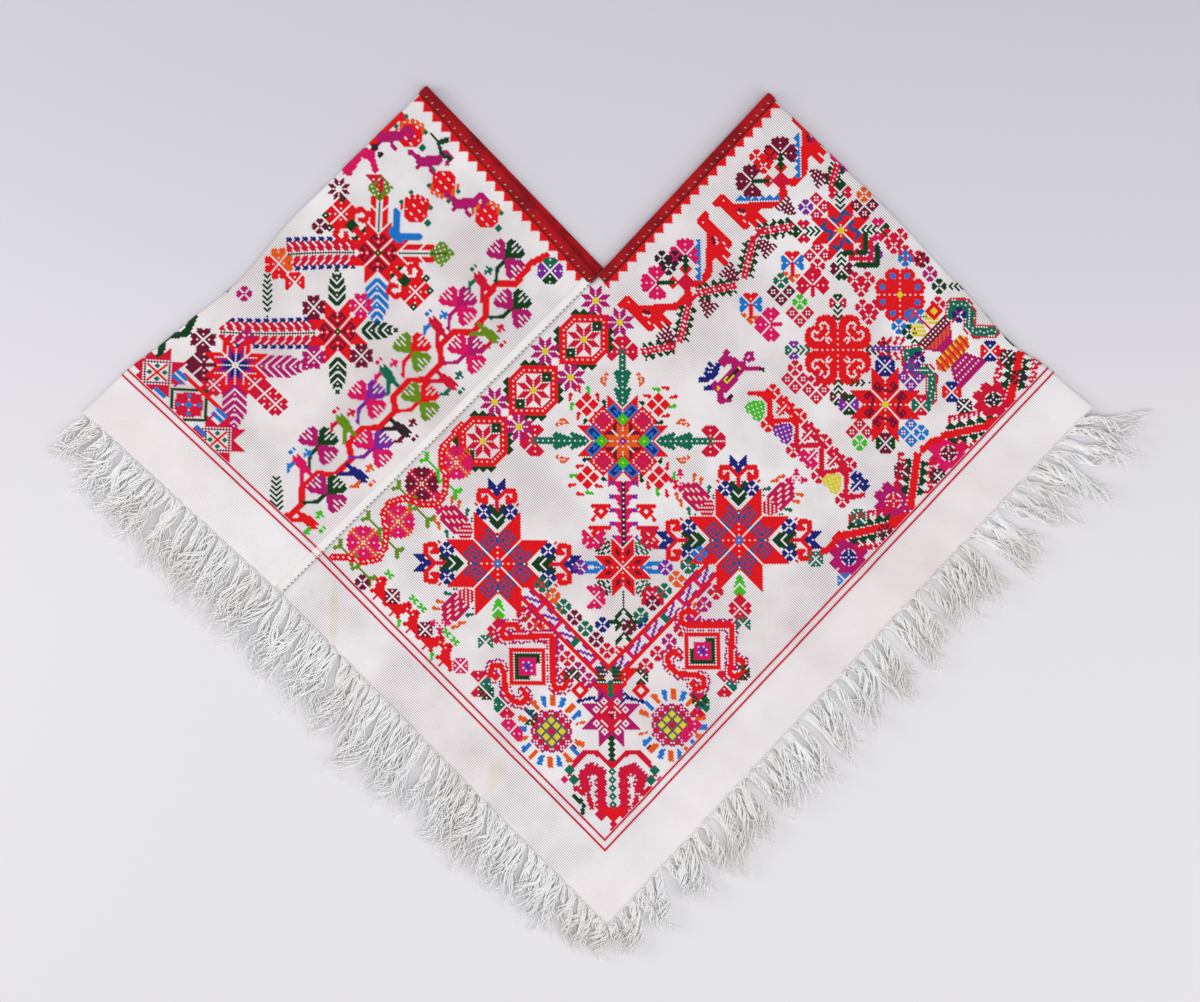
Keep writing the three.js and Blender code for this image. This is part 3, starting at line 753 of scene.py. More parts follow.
class Motif:
    """A small square of counted cloth. a and b count from its middle as u and v do on the cape;
    e and n measure east and north in the picture, in steps from stitch to stitch on the slant. A, B,
    E and N are the same without their signs."""

    def __init__(self, reach):
        self.reach = reach
        self.a, self.b = np.mgrid[-reach:reach + 1, -reach:reach + 1]
        self.e, self.n = (self.a - self.b) / 2, (self.a + self.b) / 2
        self.A, self.B, self.E, self.N = (abs(counts) for counts in (self.a, self.b, self.e, self.n))
        self.most, self.least = np.maximum(self.A, self.B), np.minimum(self.A, self.B)
        self.even = self.a % 2 == 0
        self.low, self.spread = np.minimum(self.a, self.b), abs(self.a - self.b)
        self.far = np.maximum(self.E, self.N)
        self.cells = np.zeros(self.a.shape, np.uint8)

    def sew(self, letter, where):
        self.cells[where] = code(letter)
        return self

    def petals(self, length, width):
        """Eight slanting petals in pairs, with a blank line between the pairs."""
        return ((self.least >= 1) & (self.least <= width) & (self.most > self.least)
                & (self.most - self.least <= length))

    def star(self, letter, length, width, middle):
        """The petals, and dots on the slanting lines of the middle, as far out as middle says."""
        self.sew(letter, self.petals(length, width))
        return self.sew(letter, (self.A == self.B) & (self.A <= middle) & (self.A % 2 == 1))

    def quarter(self, turn):
        """The quarter that faces north, east, south or west."""
        east, north = ((1, 1), (1, -1), (-1, -1), (-1, 1))[turn]
        return (self.a * east > 0) & (self.b * north > 0)

    def dots(self, every=2):
        return (self.A == self.B) & (self.A % every == 0)

    def line(self, points, width):
        """A line through points given as (east, north)."""
        near = np.full(self.a.shape, False)
        for (e1, n1), (e2, n2) in zip(points, points[1:]):
            de, dn = e2 - e1, n2 - n1
            t = np.clip(((self.e - e1) * de + (self.n - n1) * dn) / (de * de + dn * dn), 0, 1)
            near |= np.hypot(self.e - e1 - t * de, self.n - n1 - t * dn) <= width / 2
        return near

    def block(self, a1, a2, b1, b2):
        return (self.a >= a1) & (self.a <= a2) & (self.b >= b1) & (self.b <= b2)

    def diamond(self, e, n, half):
        return abs(self.e - e) + abs(self.n - n) <= half

    def add(self, other, a=0, b=0, turn=0, mirror=False):
        """Sews another motif onto this one."""
        stamp(self.cells, self.reach, other, a, b, turn, mirror)
        return self

    def all_round(self, other, a, b, turns=(0, 1, 2, 3), mirror=False):
        """Sews it again after each quarter turn about the middle. (a, b) is its place to the north."""
        for turn in turns:
            x, y = ((a, b), (b, -a), (-a, -b), (-b, a))[turn]
            self.add(other, x, y, turn, mirror)
        return self

    def place(self, u, v, turn=0, mirror=False):
        stamp(counted, HALF, self, u, v, turn, mirror)
        return self


def stamp(cells, middle, motif, a, b, turn, mirror):
    own = np.rot90(motif.cells.T if mirror else motif.cells, -turn)
    a, b, reach = round(a) + middle, round(b) + middle, motif.reach
    low_a, low_b = max(0, a - reach), max(0, b - reach)
    window = cells[low_a:a + reach + 1, low_b:b + reach + 1]
    own = own[low_a - a + reach:, low_b - b + reach:][:window.shape[0], :window.shape[1]]
    window[own > 0] = own[own > 0]


def chart(*rows):
    """A motif given as a chart. The chart's right is u and its top is v."""
    wide = max(len(row) for row in rows)
    motif = Motif(max(len(rows), wide) // 2)
    for r, row in enumerate(rows):
        for c, letter in enumerate(row):
            if letter != " ":
                a, b = c - wide // 2, (len(rows) - 1) // 2 - r
                motif.cells[a + motif.reach, b + motif.reach] = code(letter)
    return motif


# %% Small flowers and leaves, which many places share
def clover(letter):
    """Four small lobes about a single stitch."""
    m = Motif(4)
    return m.sew(letter, (m.least > 0) & (m.most <= 3) & (m.A + m.B < 6)).sew(letter, m.most == 0)


def flower(size, letters, notch=0.35):
    """Four dotted petals to north, east, south and west, parted by a blank cross."""
    m = Motif(size + 1)
    for turn, letter in enumerate(letters):
        if letter == " ":
            continue
        petal = m.quarter(turn) & (m.most <= size) & (m.A + m.B <= 2 * size - size * notch)
        m.sew(letter, petal & ~(m.dots() & (m.most < size)))
    return m


def tulip(size, letter):
    """Three pointed petals, to north, east and west of a point."""
    m = Motif(size + 1)
    for turn in (0, 1, 3):
        m.sew(letter, m.quarter(turn) & (m.most <= size) & (abs(m.A - m.B) <= size // 2)
              & ((m.A + m.B) % 3 > 0) | (m.quarter(turn) & (m.A == m.B) & (m.most <= size)))
    return m


def leafy(letter, rows, width):
    """A spray that grows north: pairs of leaves that slant up from a stem."""
    m = Motif(2 * rows + width + 2)
    for row in range(rows):
        reach = width - abs(row - rows * 0.35) * width / rows * 0.8
        m.sew(letter, (m.low == 2 * row) & (m.spread <= reach) & (m.spread > 0))
    return m.sew(letter, (m.a == m.b) & (m.a >= -2) & (m.a < 2 * rows) & m.even)

# %% Charts of small things
curl = chart(" OO OO", "OO O O", "O OO  ", "OO    ", "O     ")
berries = chart(*["rrrr rrrr"] * 4, "         ", *["rrrr rrrr"] * 4)
hook = chart("www", "w w", "w  ", "w  ", "w  ", "w  ")
slip = chart("  tt", " ttt", "tt  ")  # a slanting leaf


def recoloured(motif, old, new):
    """A copy with other threads, letter by letter."""
    copy = Motif(motif.reach)
    copy.cells = motif.cells.copy()
    for before, after in zip(old, new):
        copy.cells[motif.cells == code(before)] = code(after)
    return copy


# %% The large stars
# Each has eight petals, with a square spiral in every one. The spirals are joined in pairs into an S.
spiral = chart("sssssssss", "srrrrrrrs", "srsssssrs", "srsrrrsrs", "srsrsssrs", "srsrrrrrs", "srsssssss",
               "srrc     ", "sss      ")


def block_feather():
    """Grows north-west, along v: a dotted square, a block of dashes and a tulip at its tip."""
    m = Motif(52)
    m.sew("c", m.block(-4, 4, 20, 26) & ((m.a + m.b) % 3 > 0))
    body = m.block(-5, 5, 27, 42) & (m.A <= 5 - np.maximum(0, m.b - 37))
    m.sew("m", body).sew("c", body & (m.A % 2 == 0))
    m.sew(".", body & (m.A % 2 == 1) & (m.A < 5) & ((m.a + m.b) % 6 < 3))
    m.add(tulip(4, "h"), 0, 44, 3)
    for side in (-1, 1):
        m.add(slip, side * 8, 30, 0, side < 0)
        for away, north in ((8, 36), (7, 40)):
            m.add(recoloured(slip, "t", "O"), side * away, north, 0, side < 0)
        m.add(recoloured(curl, "O", "t"), side * 9, 24, 0, side < 0)
    return m


def large_star(arm):
    """arm is the quarter turn at which the vase begins instead of a feather."""
    m = Motif(54)
    feather = block_feather()
    for turn in range(4):
        if turn != arm:
            m.add(feather, 0, 0, turn)
    m.sew(".", (m.most - m.least <= 18) & (m.least <= 11)).star("r", 17, 10, 12)
    pair = Motif(20).add(spiral, 12, 5).add(spiral, 5, 12, 2)
    m.all_round(pair.sew("s", (pair.a + pair.b == 17) & (pair.spread < 6)), 0, 0)
    m.sew("b", (m.A + m.B <= 2) & (m.A + m.B > 0))
    for turn in (0, 1, 3, 2):
        tip = Motif(52)
        green, reach = ("l", 5) if turn == 2 else ("g", 8)
        for t in (13, 14, 15, 17, 18, 19):
            tip.sew(green, (tip.low == t) & (tip.spread <= reach - abs(t - 16)))
        tip.sew(green, (tip.a == tip.b) & (tip.a == 11))
        tip.sew("c", (tip.spread <= 1) & (tip.a > 19) & (tip.a < 25))
        if turn == 2:
            tip.add(flower(5, "cccc"), 25, 25)
        else:
            tip.add(clover("n"), 24, 14).add(clover("n"), 14, 24)
            tip.sew("c", (tip.E == 1.5) & (tip.n == 21.5))
            for side in (-1, 1):
                course = [(0, 23.5), (3, 26.6), (6.4, 27), (6.8, 23.2), (4.4, 22.8), (4, 24.6)]
                tip.sew("r", tip.line([(side * e, n) for e, n in course], 1.9))
                tip.sew("r", tip.diamond(side * 7.6, 21.6, 0.8))
            cup = (tip.n >= 26 + tip.E * 0.6) & (tip.n <= 29 + tip.E * 0.7)
            tip.sew("n", cup & (tip.E <= 3.2) & (tip.E > 0))
            tip.sew("n", tip.diamond(0, 26, 1))
        m.add(tip, 0, 0, turn)
    return m


large_star(arm=1).place(-144, -68)
large_star(arm=2).place(-44, -150)


# %% The tree of life: a star made of stars
def star_of_stars():
    m = Motif(58)
    spray = Motif(56)
    low, spread = spray.low, spray.spread
    for t in range(13, 25):
        spray.sew("t", (low == t) & (spread <= 6 - abs((t - 13) % 6 - 3)) & (t != 18))
    spray.sew("t", (spread <= 2) & (low >= 14) & (low <= 33)).sew(".", (spread == 0) & (low % 2 == 0))
    spray.add(flower(7, "cc c"), 33, 33)
    spray.add(curl, 29, 17, 0, True).add(curl, 17, 29)
    m.all_round(spray, 0, 0, turns=(0, 1, 3))
    corner = Motif(40).add(berries, 0, 27)
    for a, b, letter in ((6, 32, "l"), (7, 26, "r"), (3, 36, "r"), (7, 21, "g")):
        for side in (-1, 1):
            corner.add(recoloured(slip, "t", letter), side * a, b, 0, side > 0)
    corner.add(hook, -9, 17, 0).add(hook, 9, 17, 3, True)
    m.all_round(corner.sew("r", (corner.a == 0) & (corner.b > 17) & (corner.b < 22)), 0, 0)
    m.sew(".", (m.most - m.least <= 12) & (m.least <= 12)).sew("r", m.petals(11, 11))
    m.sew("r", (m.least <= 5) & (m.most >= 9) & (m.most <= 19) & (m.least + m.most < 24))
    m.sew(".", (m.least <= 4) & (m.most >= 10) & (m.most <= 18) & ((m.least == 4) | (m.most % 8 == 2))
          & ((m.a + m.b) % 2 == 0))
    m.sew("w", m.petals(7, 5) & (m.most < 12)).sew("c", m.petals(4, 6) & (m.least > 4))
    m.sew("O", m.petals(4, 4)).sew("O", m.most <= 3).sew(".", m.dots() & (m.most < 12) & (m.most > 0))
    m.sew("p", m.most <= 1).sew(".", m.most == 0)
    heart = Motif(24)
    low, high = heart.low, np.maximum(heart.a, heart.b)
    arms = (low >= 6) & (low <= 10) & (high <= 17)
    heart.sew("b", arms).sew("n", (low >= 7) & (low <= 9) & (high <= 16))
    heart.sew("b", (low == 8) & (high > 10) & (high < 15)).sew("b", (high == 13) & (low > 7) & (low < 10))
    heart.sew("l", (low >= 6) & (high <= 10)).sew("y", (low == 8) & (high == 8))
    m.all_round(heart, 0, 0)
    square = Motif(20)
    far = np.maximum(square.A, abs(square.b - 15))
    square.sew("r", far <= 5).sew(".", (far == 4) & ((square.a + square.b) % 2 == 0))
    square.sew("p", (far <= 3) & ((square.a * square.b) % 2 == 1))
    return m.all_round(square, 0, 0)


star_of_stars().place(-51, -70)


# %% Its trunk, and the small star at the trunk's foot
def trunk(steps):
    """Runs south from its top: pink barbs with purple hooks, and a dark dotted middle line."""
    m = Motif(steps + 8)
    down = -m.n
    on = (down >= 0) & (down <= steps)
    tooth = down % 5
    m.sew("h", on & (m.E <= 1.0 + (5 - tooth) * 0.5))
    m.sew("p", on & (tooth < 1.1) & (m.E > 3) & (m.E <= 5))
    m.sew("k", on & (m.E <= 0.5)).sew(".", on & (m.e == 0) & (m.n % 2 == 0))
    for n, e in ((-9, 8.5), (-17, 9.5)):
        for side in (-1, 1):
            m.sew("r", m.line([(side * 5, n), (side * (e + 3), n)], 1.1))
            m.sew("r", m.diamond(side * e, n - 2, 2.6)).sew(".", m.diamond(side * e, n - 2, 0.5))
            m.sew("r", m.line([(side * e, n), (side * (e + 3), n - 5)], 1.0))
    return m


trunk(31).place(-66, -85)


def foot_star():
    m = Motif(40)
    for turn in range(4):
        side = Motif(34)
        letter = "g" if turn in (0, 3) else "t"
        side.sew(letter, side.block(-4, 4, 10, 17) & ((side.a + 2 * side.b) % 5 > 1)
                 & ~((side.A < 2) & (side.b % 3 == 0)))
        bud = flower(6, "h hh" if turn in (0, 3) else "c cc", notch=0.6)
        side.add(bud, 0, 22, 3)
        m.add(side, 0, 0, turn)
    m.sew(".", (m.most - m.least <= 9) & (m.least <= 7)).star("r", 8, 6, 6)
    m.sew("w", (m.least >= 3) & (m.least <= 4) & (m.most - m.least >= 3) & (m.most - m.least <= 5))
    heart = Motif(30).add(clover("p"), 16, 16)
    low, spread = heart.low, heart.spread
    heart.sew("b", (low >= 8) & (low <= 12) & (spread <= 4) & (spread > (low - 9) * 0.5))
    heart.sew("b", (low == 7) & (spread <= 1))
    return m.all_round(heart, 0, 0, turns=(1, 3))


foot_star().place(-98, -116)


def spray_below():
    """A green spray on the middle line, with two navy flowers, a red figure and a triangle."""
    m = Motif(40)
    m.sew("g", (m.e == 0) & (m.n <= 0) & (m.n >= -5))
    for top in (-6, -10, -15):
        high = np.maximum(m.a, m.b)
        for t in (0, 1):
            m.sew("g", (high == top - t) & (m.spread <= 6) & (m.E >= t * 1.0))
    for side in (-1, 1):
        m.sew("g", m.line([(side * 2, -11), (side * 6, -11)], 1.0))
        m.add(clover("n"), -11 + side * 8 - 1, -11 - side * 8 - 1)
    m.sew("r", (m.e == 0) & (m.n <= -20) & (m.n >= -31))
    for n in (-20, -22):
        m.sew("r", m.line([(0, n - 2), (3, n)], 1.1) | m.line([(0, n - 2), (-3, n)], 1.1))
    m.sew("r", (m.n <= -28) & (m.E <= 5 + (m.n + 28)) & (m.n >= -33))
    m.sew(".", (m.e == 0) & (m.n % 2 == 0) & (m.n < -23))
    return m


spray_below().place(-107, -125)


# %% The vase: two bands that run down from the large stars and meet
def vase_band(length):
    """Runs along -v from its start, with S figures and blocks between two red edges."""
    m = Motif(length + 4)
    run = -m.b
    on = (run >= 0) & (run <= length)
    m.sew("r", on & (m.A <= 4)).sew(".", on & (m.A <= 2))
    cell = run % 13
    m.sew("p", on & (m.A <= 2) & (cell > 1) & (cell < 11) & ((abs(m.a * 2 - (cell - 6)) <= 1)
                                                              | ((m.A == 2) & (m.a * (cell - 6) < 0))))
    m.sew("h", on & (m.A <= 2) & (cell >= 11) & ((run // 13) % 3 != 2))
    m.sew("t", on & (m.A <= 2) & (cell >= 10) & ((run // 13) % 3 == 2))
    return m


vase_band(60).place(-144, -88)
vase_band(78).place(-64, -150, 1)
foot = Motif(12)
foot.sew("r", (foot.most <= 8) & (foot.n < 0) & (foot.n >= -6) & (foot.E <= 7 + foot.n))
foot.sew("g", (foot.n > -1) & (foot.n < 6) & (foot.E > 1) & (foot.E < 5) & ((foot.a + foot.b) % 3 > 0))
foot.place(-146, -152)

for u0, v0, du, dv, letters in ((-135, -92, 0, -8, "tOtwtwc"), (-64, -140, -9, 0, "btOtwtw"),
                                (-153, -96, 0, -8, "cccmcmm"), (-72, -160, -9, 0, "cmmcmcc")):
    for i, letter in enumerate(letters):
        clover(letter).place(u0 + du * i, v0 + dv * i)


# %% The magenta star, the double hook and the flowers at the lowest corner
def corner_group():
    m = Motif(52)
    m.sew("m", m.petals(9, 6)).sew("c", (m.most <= 6) & (m.n <= 6))
    for a, b in ((8, 3), (3, 8)):
        for x, y in ((a, b), (b, -a), (-a, -b), (-b, a)):
            m.sew(".", np.maximum(abs(m.a - x), abs(m.b - y)) == 1)
    m.sew(".", (m.most == 5) & (m.least < 3)).sew(".", (m.A + m.B == 3) & (m.a > 0))
    m.sew("w", (m.A + m.B <= 1) & (m.a >= 0))
    for n in range(-8, -18, -2):
        m.sew("g", m.diamond(0, n, 1.0))
    for n in (8, 10, 12):
        m.sew("t", m.diamond(0, n, 1.0))
    for side in (-1, 1):
        stroke = lambda width, *points: m.line([(side * e, n) for e, n in points], width)
        m.sew("c", stroke(1.7, (0, -18), (6, -13), (10, -13), (14, -17), (16, -21)))
        bend = (4.6, -20), (8, -19), (11, -21.5), (10, -26)
        edge = stroke(4.8, (4.6, -35), *bend) & ((m.a + 2 * m.b) % 4 < 2)
        m.sew("m", edge & (m.E > 1.6)).sew("c", stroke(3.2, (4.6, -36), *bend) & (m.E > 1.6))
        for e in (3.5, 5.7):
            m.sew(".", stroke(0.9, (e, -35), (e, -20.5)) & (m.n % 2 == 0))
        m.sew("c", stroke(1.8, (11, -28), (14, -26)) | stroke(1.8, (9, -29), (8, -33)))
        m.sew("g", stroke(1.6, (12, -31), (14.5, -29)) | stroke(1.4, (11, -32), (11.5, -35)))
        for e, n, letter in ((16, -19.5, "t"), (14.5, -23, "t"), (18, -23, "h")):
            m.sew(letter, (abs(m.a - (n + side * e)) <= 1.6) & (abs(m.b - (n - side * e)) <= 1.6))
        m.add(recoloured(hook, "w", "n"), 7 + side * 5, 7 - side * 5, 0 if side > 0 else 3, side > 0)
        m.sew("r", m.diamond(side * 11.5, 9.5, 3.6)).sew(".", m.diamond(side * 11.5, 9.5, 1.1))
        m.sew("w", m.diamond(side * 14.5, -11.5, 1.9)).sew(".", m.diamond(side * 14.5, -11.5, 0.6))
        m.sew("n", m.line([(side * 6, 7), (side * 12, 5.5)], 1.2))
    m.sew("r", (m.n <= -33) & (m.E <= 5 + (m.n + 33)) & (m.n > -39))
    for n in range(-20, -34, -3):
        m.sew("t", m.diamond(0, n, 1.5)).sew(".", m.diamond(0, n, 0.4))
    for n in range(-39, -46, -2):
        m.sew("c", m.diamond(0, n, 1.0))
    return m


corner_group().place(-158, -165)


def pineapple():
    """A round head of small blocks about a yellow ring, with a crown of petals round it."""
    m = Motif(20)
    far = np.maximum(m.most, (m.A + m.B) * 0.72)
    head = far <= 11.5
    block = (m.a % 4 != 2) & (m.b % 4 != 2)
    m.sew("c", head & block).sew("p", head & ~block & ((m.a + m.b) % 2 == 0))
    m.sew("y", (m.most <= 6) & (m.most > 2) & block)
    m.sew("t", (m.most < 7) & ~block & ((m.a + m.b) % 2 == 1))
    m.sew("c", m.most <= 1)
    angle = np.arctan2(m.a - m.b, m.a + m.b)
    spoke = np.floor(angle * 20 / np.pi).astype(int)
    crown = (np.hypot(m.a, m.b) > 13) & (np.hypot(m.a, m.b) < 18.5) & (abs(angle) < 2.9)
    m.sew("b", crown & (spoke % 4 == 0)).sew("O", crown & (spoke % 4 == 2))
    return m


pineapple().place(-186, -148, 3).place(-138, -191, 1)

# %% Hearts, feathers, frames and other forms that the borders share
def hearts(size, letters):
    """Petals with two round lobes and dots, to north, east, south and west."""
    m = Motif(size + 2)
    far, near = size * 0.66, size * 0.34
    lobes = np.minimum(np.hypot(m.A - far, m.B - near), np.hypot(m.A - near, m.B - far)) <= size * 0.36
    inner = (m.A + m.B <= size * 1.05) & (m.least >= 1)
    petals = (lobes | inner) & ~(m.dots() & (m.most < size))
    for turn, letter in enumerate(letters):
        if letter != " ":
            m.sew(letter, m.quarter(turn) & petals)
    return m


def heart_leaf(letter):
    """One heart that grows north-west, along v, with white slits and a serrated end."""
    length = 11
    m = Motif(length + 2)
    wide = np.minimum(m.b * 0.9 + 0.3, length * 0.5)
    end = length - 0.16 * (m.A - length * 0.22) ** 2
    leaf = (m.b > 0) & (m.A <= wide) & (m.b <= end)
    slits = (m.A == 0) & (m.b > length * 0.45) & (m.b < length * 0.75)
    slits |= (m.A == 2) & (m.b > length * 0.6) & (m.b < length * 0.85)
    return m.sew(letter, leaf).sew(".", leaf & (slits | ((m.b > end - 1) & m.even)))


def figure(reach, *strokes):
    """A figure of strokes: each has its letter, its width, and points given as east, north."""
    m = Motif(reach)
    for letter, width, *points in strokes:
        if len(points) == 1:
            m.sew(letter, np.hypot(m.e - points[0][0], m.n - points[0][1]) <= width / 2)
        else:
            m.sew(letter, m.line(points, width))
    return m


def along_v(side):
    """The turn and mirror that make a motif's v run the other way, where side is below zero."""
    return (0, False) if side > 0 else (1, True)


def small_star(length, width, letter, middle=None):
    m = Motif(length + width + 2)
    m.sew(letter, m.petals(length, width))
    if middle:
        m.sew(middle, m.most <= 1)
    return m


def feather(letter, start, rows, half):
    """Chevrons to the north, from start steps on, each pointing outward."""
    m = Motif(start + 3 * rows + half + 4)
    for row in range(rows):
        t = start + 3 * row
        reach = half * 2 * min(1, (rows - row) / rows * 1.6)
        m.sew(letter, (m.low >= t) & (m.low < t + 2) & (m.spread <= reach) & (m.spread > 0))
    return m.sew(letter, (m.a == m.b) & (m.a >= start) & (m.a < start + 3 * rows) & m.even)


def cluster(letter, middle, corner):
    """Three holed squares and a small flower, which point north-west."""
    m = Motif(11)
    for a, b in ((-3, -3), (3, -3), (-3, 3)):
        far = np.maximum(abs(m.a - a), abs(m.b - b))
        m.sew(letter, (far == 2) | ((far == 1) & ((m.a + m.b) % 2 == 0))).sew(middle, far == 0)
    return m.add(clover(corner), 4, 4)


trefoil = Motif(10)
for place in ((0, 5), (5, 0), (-1, -1)):
    trefoil.add(clover("c"), *place)
kite = Motif(10).add(flower(7, "hh h", notch=0.25)).sew("h", Motif(10).line([(0, 0), (0, -4)], 1.2))

# %% The right neck edge: flowers with red buds, long-tailed animals, and a stepped line with combs
beast = figure(
    42, ("r", 2.8, (0, -1.5), (1, -4.5), (-1.8, -7.8), (-5, -8.9), (-16, -9.6)), ("r", 5.0, (-22.4, -7.2)),
    ("r", 2.0, (-22.5, -7), (-25, -8)), ("r", 4.4, (-21.4, -8.4), (-18, -11)),
    ("r", 5.8, (-17.6, -11.2), (-11.6, -11)), ("r", 2.4, (-18, -13), (-15.6, -15.4), (-13.6, -16.8)),
    ("r", 2.4, (-11, -12.4), (-8.4, -13.6), (-7, -15)), ("r", 2.2, (-14, -13), (-11.4, -14.8), (-10, -16.2)),
    (".", 1.0, (-22.4, -7)), ("w", 1.3, (-16.2, -10.6), (-14.2, -11)),
    (".", 0.8, (-16.4, -11.8), (-14, -12.2)))


def blue_edge(length):
    """A row of blue triangles that stand on a line to the east."""
    m = Motif(length + 4)
    on = (m.e >= 0) & (m.e <= length)
    return m.sew("b", on & (m.n >= 0) & (m.n <= 2 - abs(m.e % 2.8 - 1.4) * 1.3)).sew(".", on & (m.n == -0.5))


def bud_group(letter, spray, with_blue):
    m = Motif(44)
    for turn, mirror in ((0, False), (3, True)):
        m.add(beast, 0, 0, turn, mirror)
    m.sew("c", np.hypot(m.e, m.n) <= 2.6)
    m.add(flower(5, "r   "), 2, 2).add(flower(5, "   r"), -2, 2)
    for a, b, turn in ((10, 10, 0), (-11, 11, 3)):
        m.add(hearts(8, letter * 2 + " " + letter), a, b, turn)
    m.sew("g", m.line([(0, 9.5), (0, 4.5)], 1.5) | m.line([(-10.5, 0), (-5, 0)], 1.5))
    m.sew("g", (m.E <= 1.3) & (m.n > 4) & (m.n < 9) & (m.n % 2 == 0))
    m.add(recoloured(trefoil, "c", spray), 0, 13)
    if with_blue:
        m.add(blue_edge(16), -17 - 7.4, 17 - 7.4).add(blue_edge(16), 17 + 7.4, 17 - 7.4, 3, True)
    return m


bud_group("h", "k", False).place(32, -36)
bud_group("w", "r", True).place(106, -36)
blue_edge(15).place(38, -41, 3)


def bar(e, n):
    """A motif with how far each stitch lies along and beside a line to (e, n), and the line's length."""
    m, long = Motif(36), float(np.hypot(e, n))
    return m, (m.e * e + m.n * n) / long, (m.n * e - m.e * n) / long, long


def toothed_bar(e, n):
    """A dotted bar to (e, n) with dark-green triangles on both sides."""
    m, along, beside, long = bar(e, n)
    on = (along >= 0) & (along <= long)
    m.sew("c", on & (abs(beside) <= 1.2)).sew(".", on & (abs(beside) <= 0.4) & m.even)
    on = on & (along > 1.2) & (along < long - 1)
    return m.sew("g", on & (abs(beside) > 1.5) & (abs(beside) <= 3.7 - abs(along % 2.8 - 1.4) * 1.4))


comb = Motif(12)
comb.sew("w", (comb.b >= 0) & (comb.b <= 9) & (comb.A <= 1.5 + comb.b * 0.4)
         & (comb.even | ((comb.b + comb.a // 2) % 2 == 0)) & ~((comb.b > 7) & (comb.a % 2 == 1)))
for u0, v0, e, n in ((-11, -44, 13.2, 2.4), (7, -55, 4.1, 14.6), (32, -44, 15.6, 2.8), (55, -57, 3.9, 14.6),
                     (77, -45, 15.1, 2.2), (121, -58, 3, 9.8)):
    toothed_bar(e, n).place(u0, v0)
figure(8, ("c", 1.7, (0, 0), (3, 2.4))).place(25, -44).place(73, -46)
for u0, v0 in ((5, -53), (52, -55), (98, -53)):
    comb.place(u0, v0)
for u0, v0 in ((31, -48), (75, -49), (121, -44)):
    comb.place(u0, v0, 2)

# %% The right front: stars, lobed flowers and a basket of flowers
s_curve = [(-2.8, 4.4), (-1.5, 3.5), (-0.2, 4.6), (0.4, 6.0), (1.6, 6.9), (2.9, 5.8)]


def stem_flower(outward, sides, distance, size=5):
    """A flower to the north, on a stem of small leaves that ends at a star."""
    m = Motif(distance + size + 3)
    m.add(flower(size, outward + sides + " " + sides), distance, distance)
    for t in range(distance - 6, distance, 2):
        m.sew(outward, (m.low == t) & (m.spread <= 3))
    return m


def blue_curl_star():
    m = Motif(36)
    m.star("r", 9, 6, 6)
    for turn, sides in enumerate("chwc"):
        one = Motif(36).add(stem_flower("g", sides, 14))
        one.sew("s", one.line(s_curve, 1.5))
        m.add(one, 0, 0, turn)
        a, b = ((0, 18), (18, 0), (0, -18), (-18, 0))[turn]
        m.add(cluster("cwcc"[turn], "pOpp"[turn], "pOpc"[turn]), a, b, turn - 1)
    return m.sew("y", m.most <= 1)


blue_curl_star().place(109, -77)

chevrons = Motif(18)
for at, letter in ((-2.2, "g"), (0, "c"), (2.2, "g")):
    chevrons.sew(letter, chevrons.line([(at, 7 - at), (at, -at), (at - 8, -at)], 1.6))
chevrons.place(110, -99)
figure(12, ("c", 1.3, (-5, 5), (0, 0))).place(106, -92)


def many_lobed(near, far, radius, curl=None, eye=None):
    """Eight round lobes in four pairs, parted by dotted lines."""
    m = Motif(int(far * 2 + radius + 2))
    for e, n in ((near, far), (far, near)):
        m.sew("r", np.hypot(m.E - e, m.N - n) <= radius)
        if eye:
            m.sew(eye, (abs(m.E - e) <= 1) & (abs(m.N - n) <= 1))
    m.sew("r", (m.E + m.N <= far) | (m.far <= far * 0.72))
    if curl:
        lobe = Motif(m.reach).sew(".", Motif(m.reach).line(curl, 0.8))
        m.all_round(lobe, 0, 0).all_round(lobe, 0, 0, mirror=True)
    m.sew(".", ((m.e == 0) | (m.n == 0)) & ((m.a % 2) == 0))
    return m


curl_line = [(2.4, 3.4), (4.6, 4.8), (3.4, 7.2), (4.0, 9.4), (6.0, 9.8), (6.8, 8.6), (6.0, 7.4)]
big_flower = many_lobed(4.5, 8.8, 4.2, curl=curl_line)
for turn, sides in enumerate("cwwp"):
    big_flower.add(Motif(40).add(stem_flower("g" if turn != 3 else "t", sides, 17, 4)), 0, 0, turn)
big_flower.place(64, -119)
lobed = many_lobed(2.7, 6.6, 3.0, eye="b")
lobed.sew("y", lobed.most <= 1).place(108, -123)
for place in ((96, -105), (89, -118), (124, -102)):
    trefoil.place(*place)
for u0, v0, letter in (
        (125, -110, "c"), (128, -117, "c"), (127, -127, "m"), (126, -135, "g"), (129, -119, "w"),
        (108, -139, "b"), (96, -134, "b"), (123, -112, "b"), (119, -141, "c"), (105, -135, "b"),
        (98, -140, "g")):
    clover(letter).place(u0, v0)
for u0, v0, turn in ((130, -139, 1), (97, -145, 2)):
    leafy("g", 3, 4).place(u0, v0, turn)

fork = Motif(24)
fork.sew("p", (fork.N <= 0.9) & (fork.e >= 0) & (fork.e <= 20))
fork.sew(".", (fork.n == 0) & (fork.e >= 0) & fork.even & (fork.e < 20))
fork.sew("c", (fork.N > 1.2) & (fork.N <= 4.4) & (fork.e > 2 + fork.N * 0.5) & (fork.e < 14)
         & ((fork.e - fork.N * 0.5) % 2.6 < 1.3))
fork.place(77, -131)


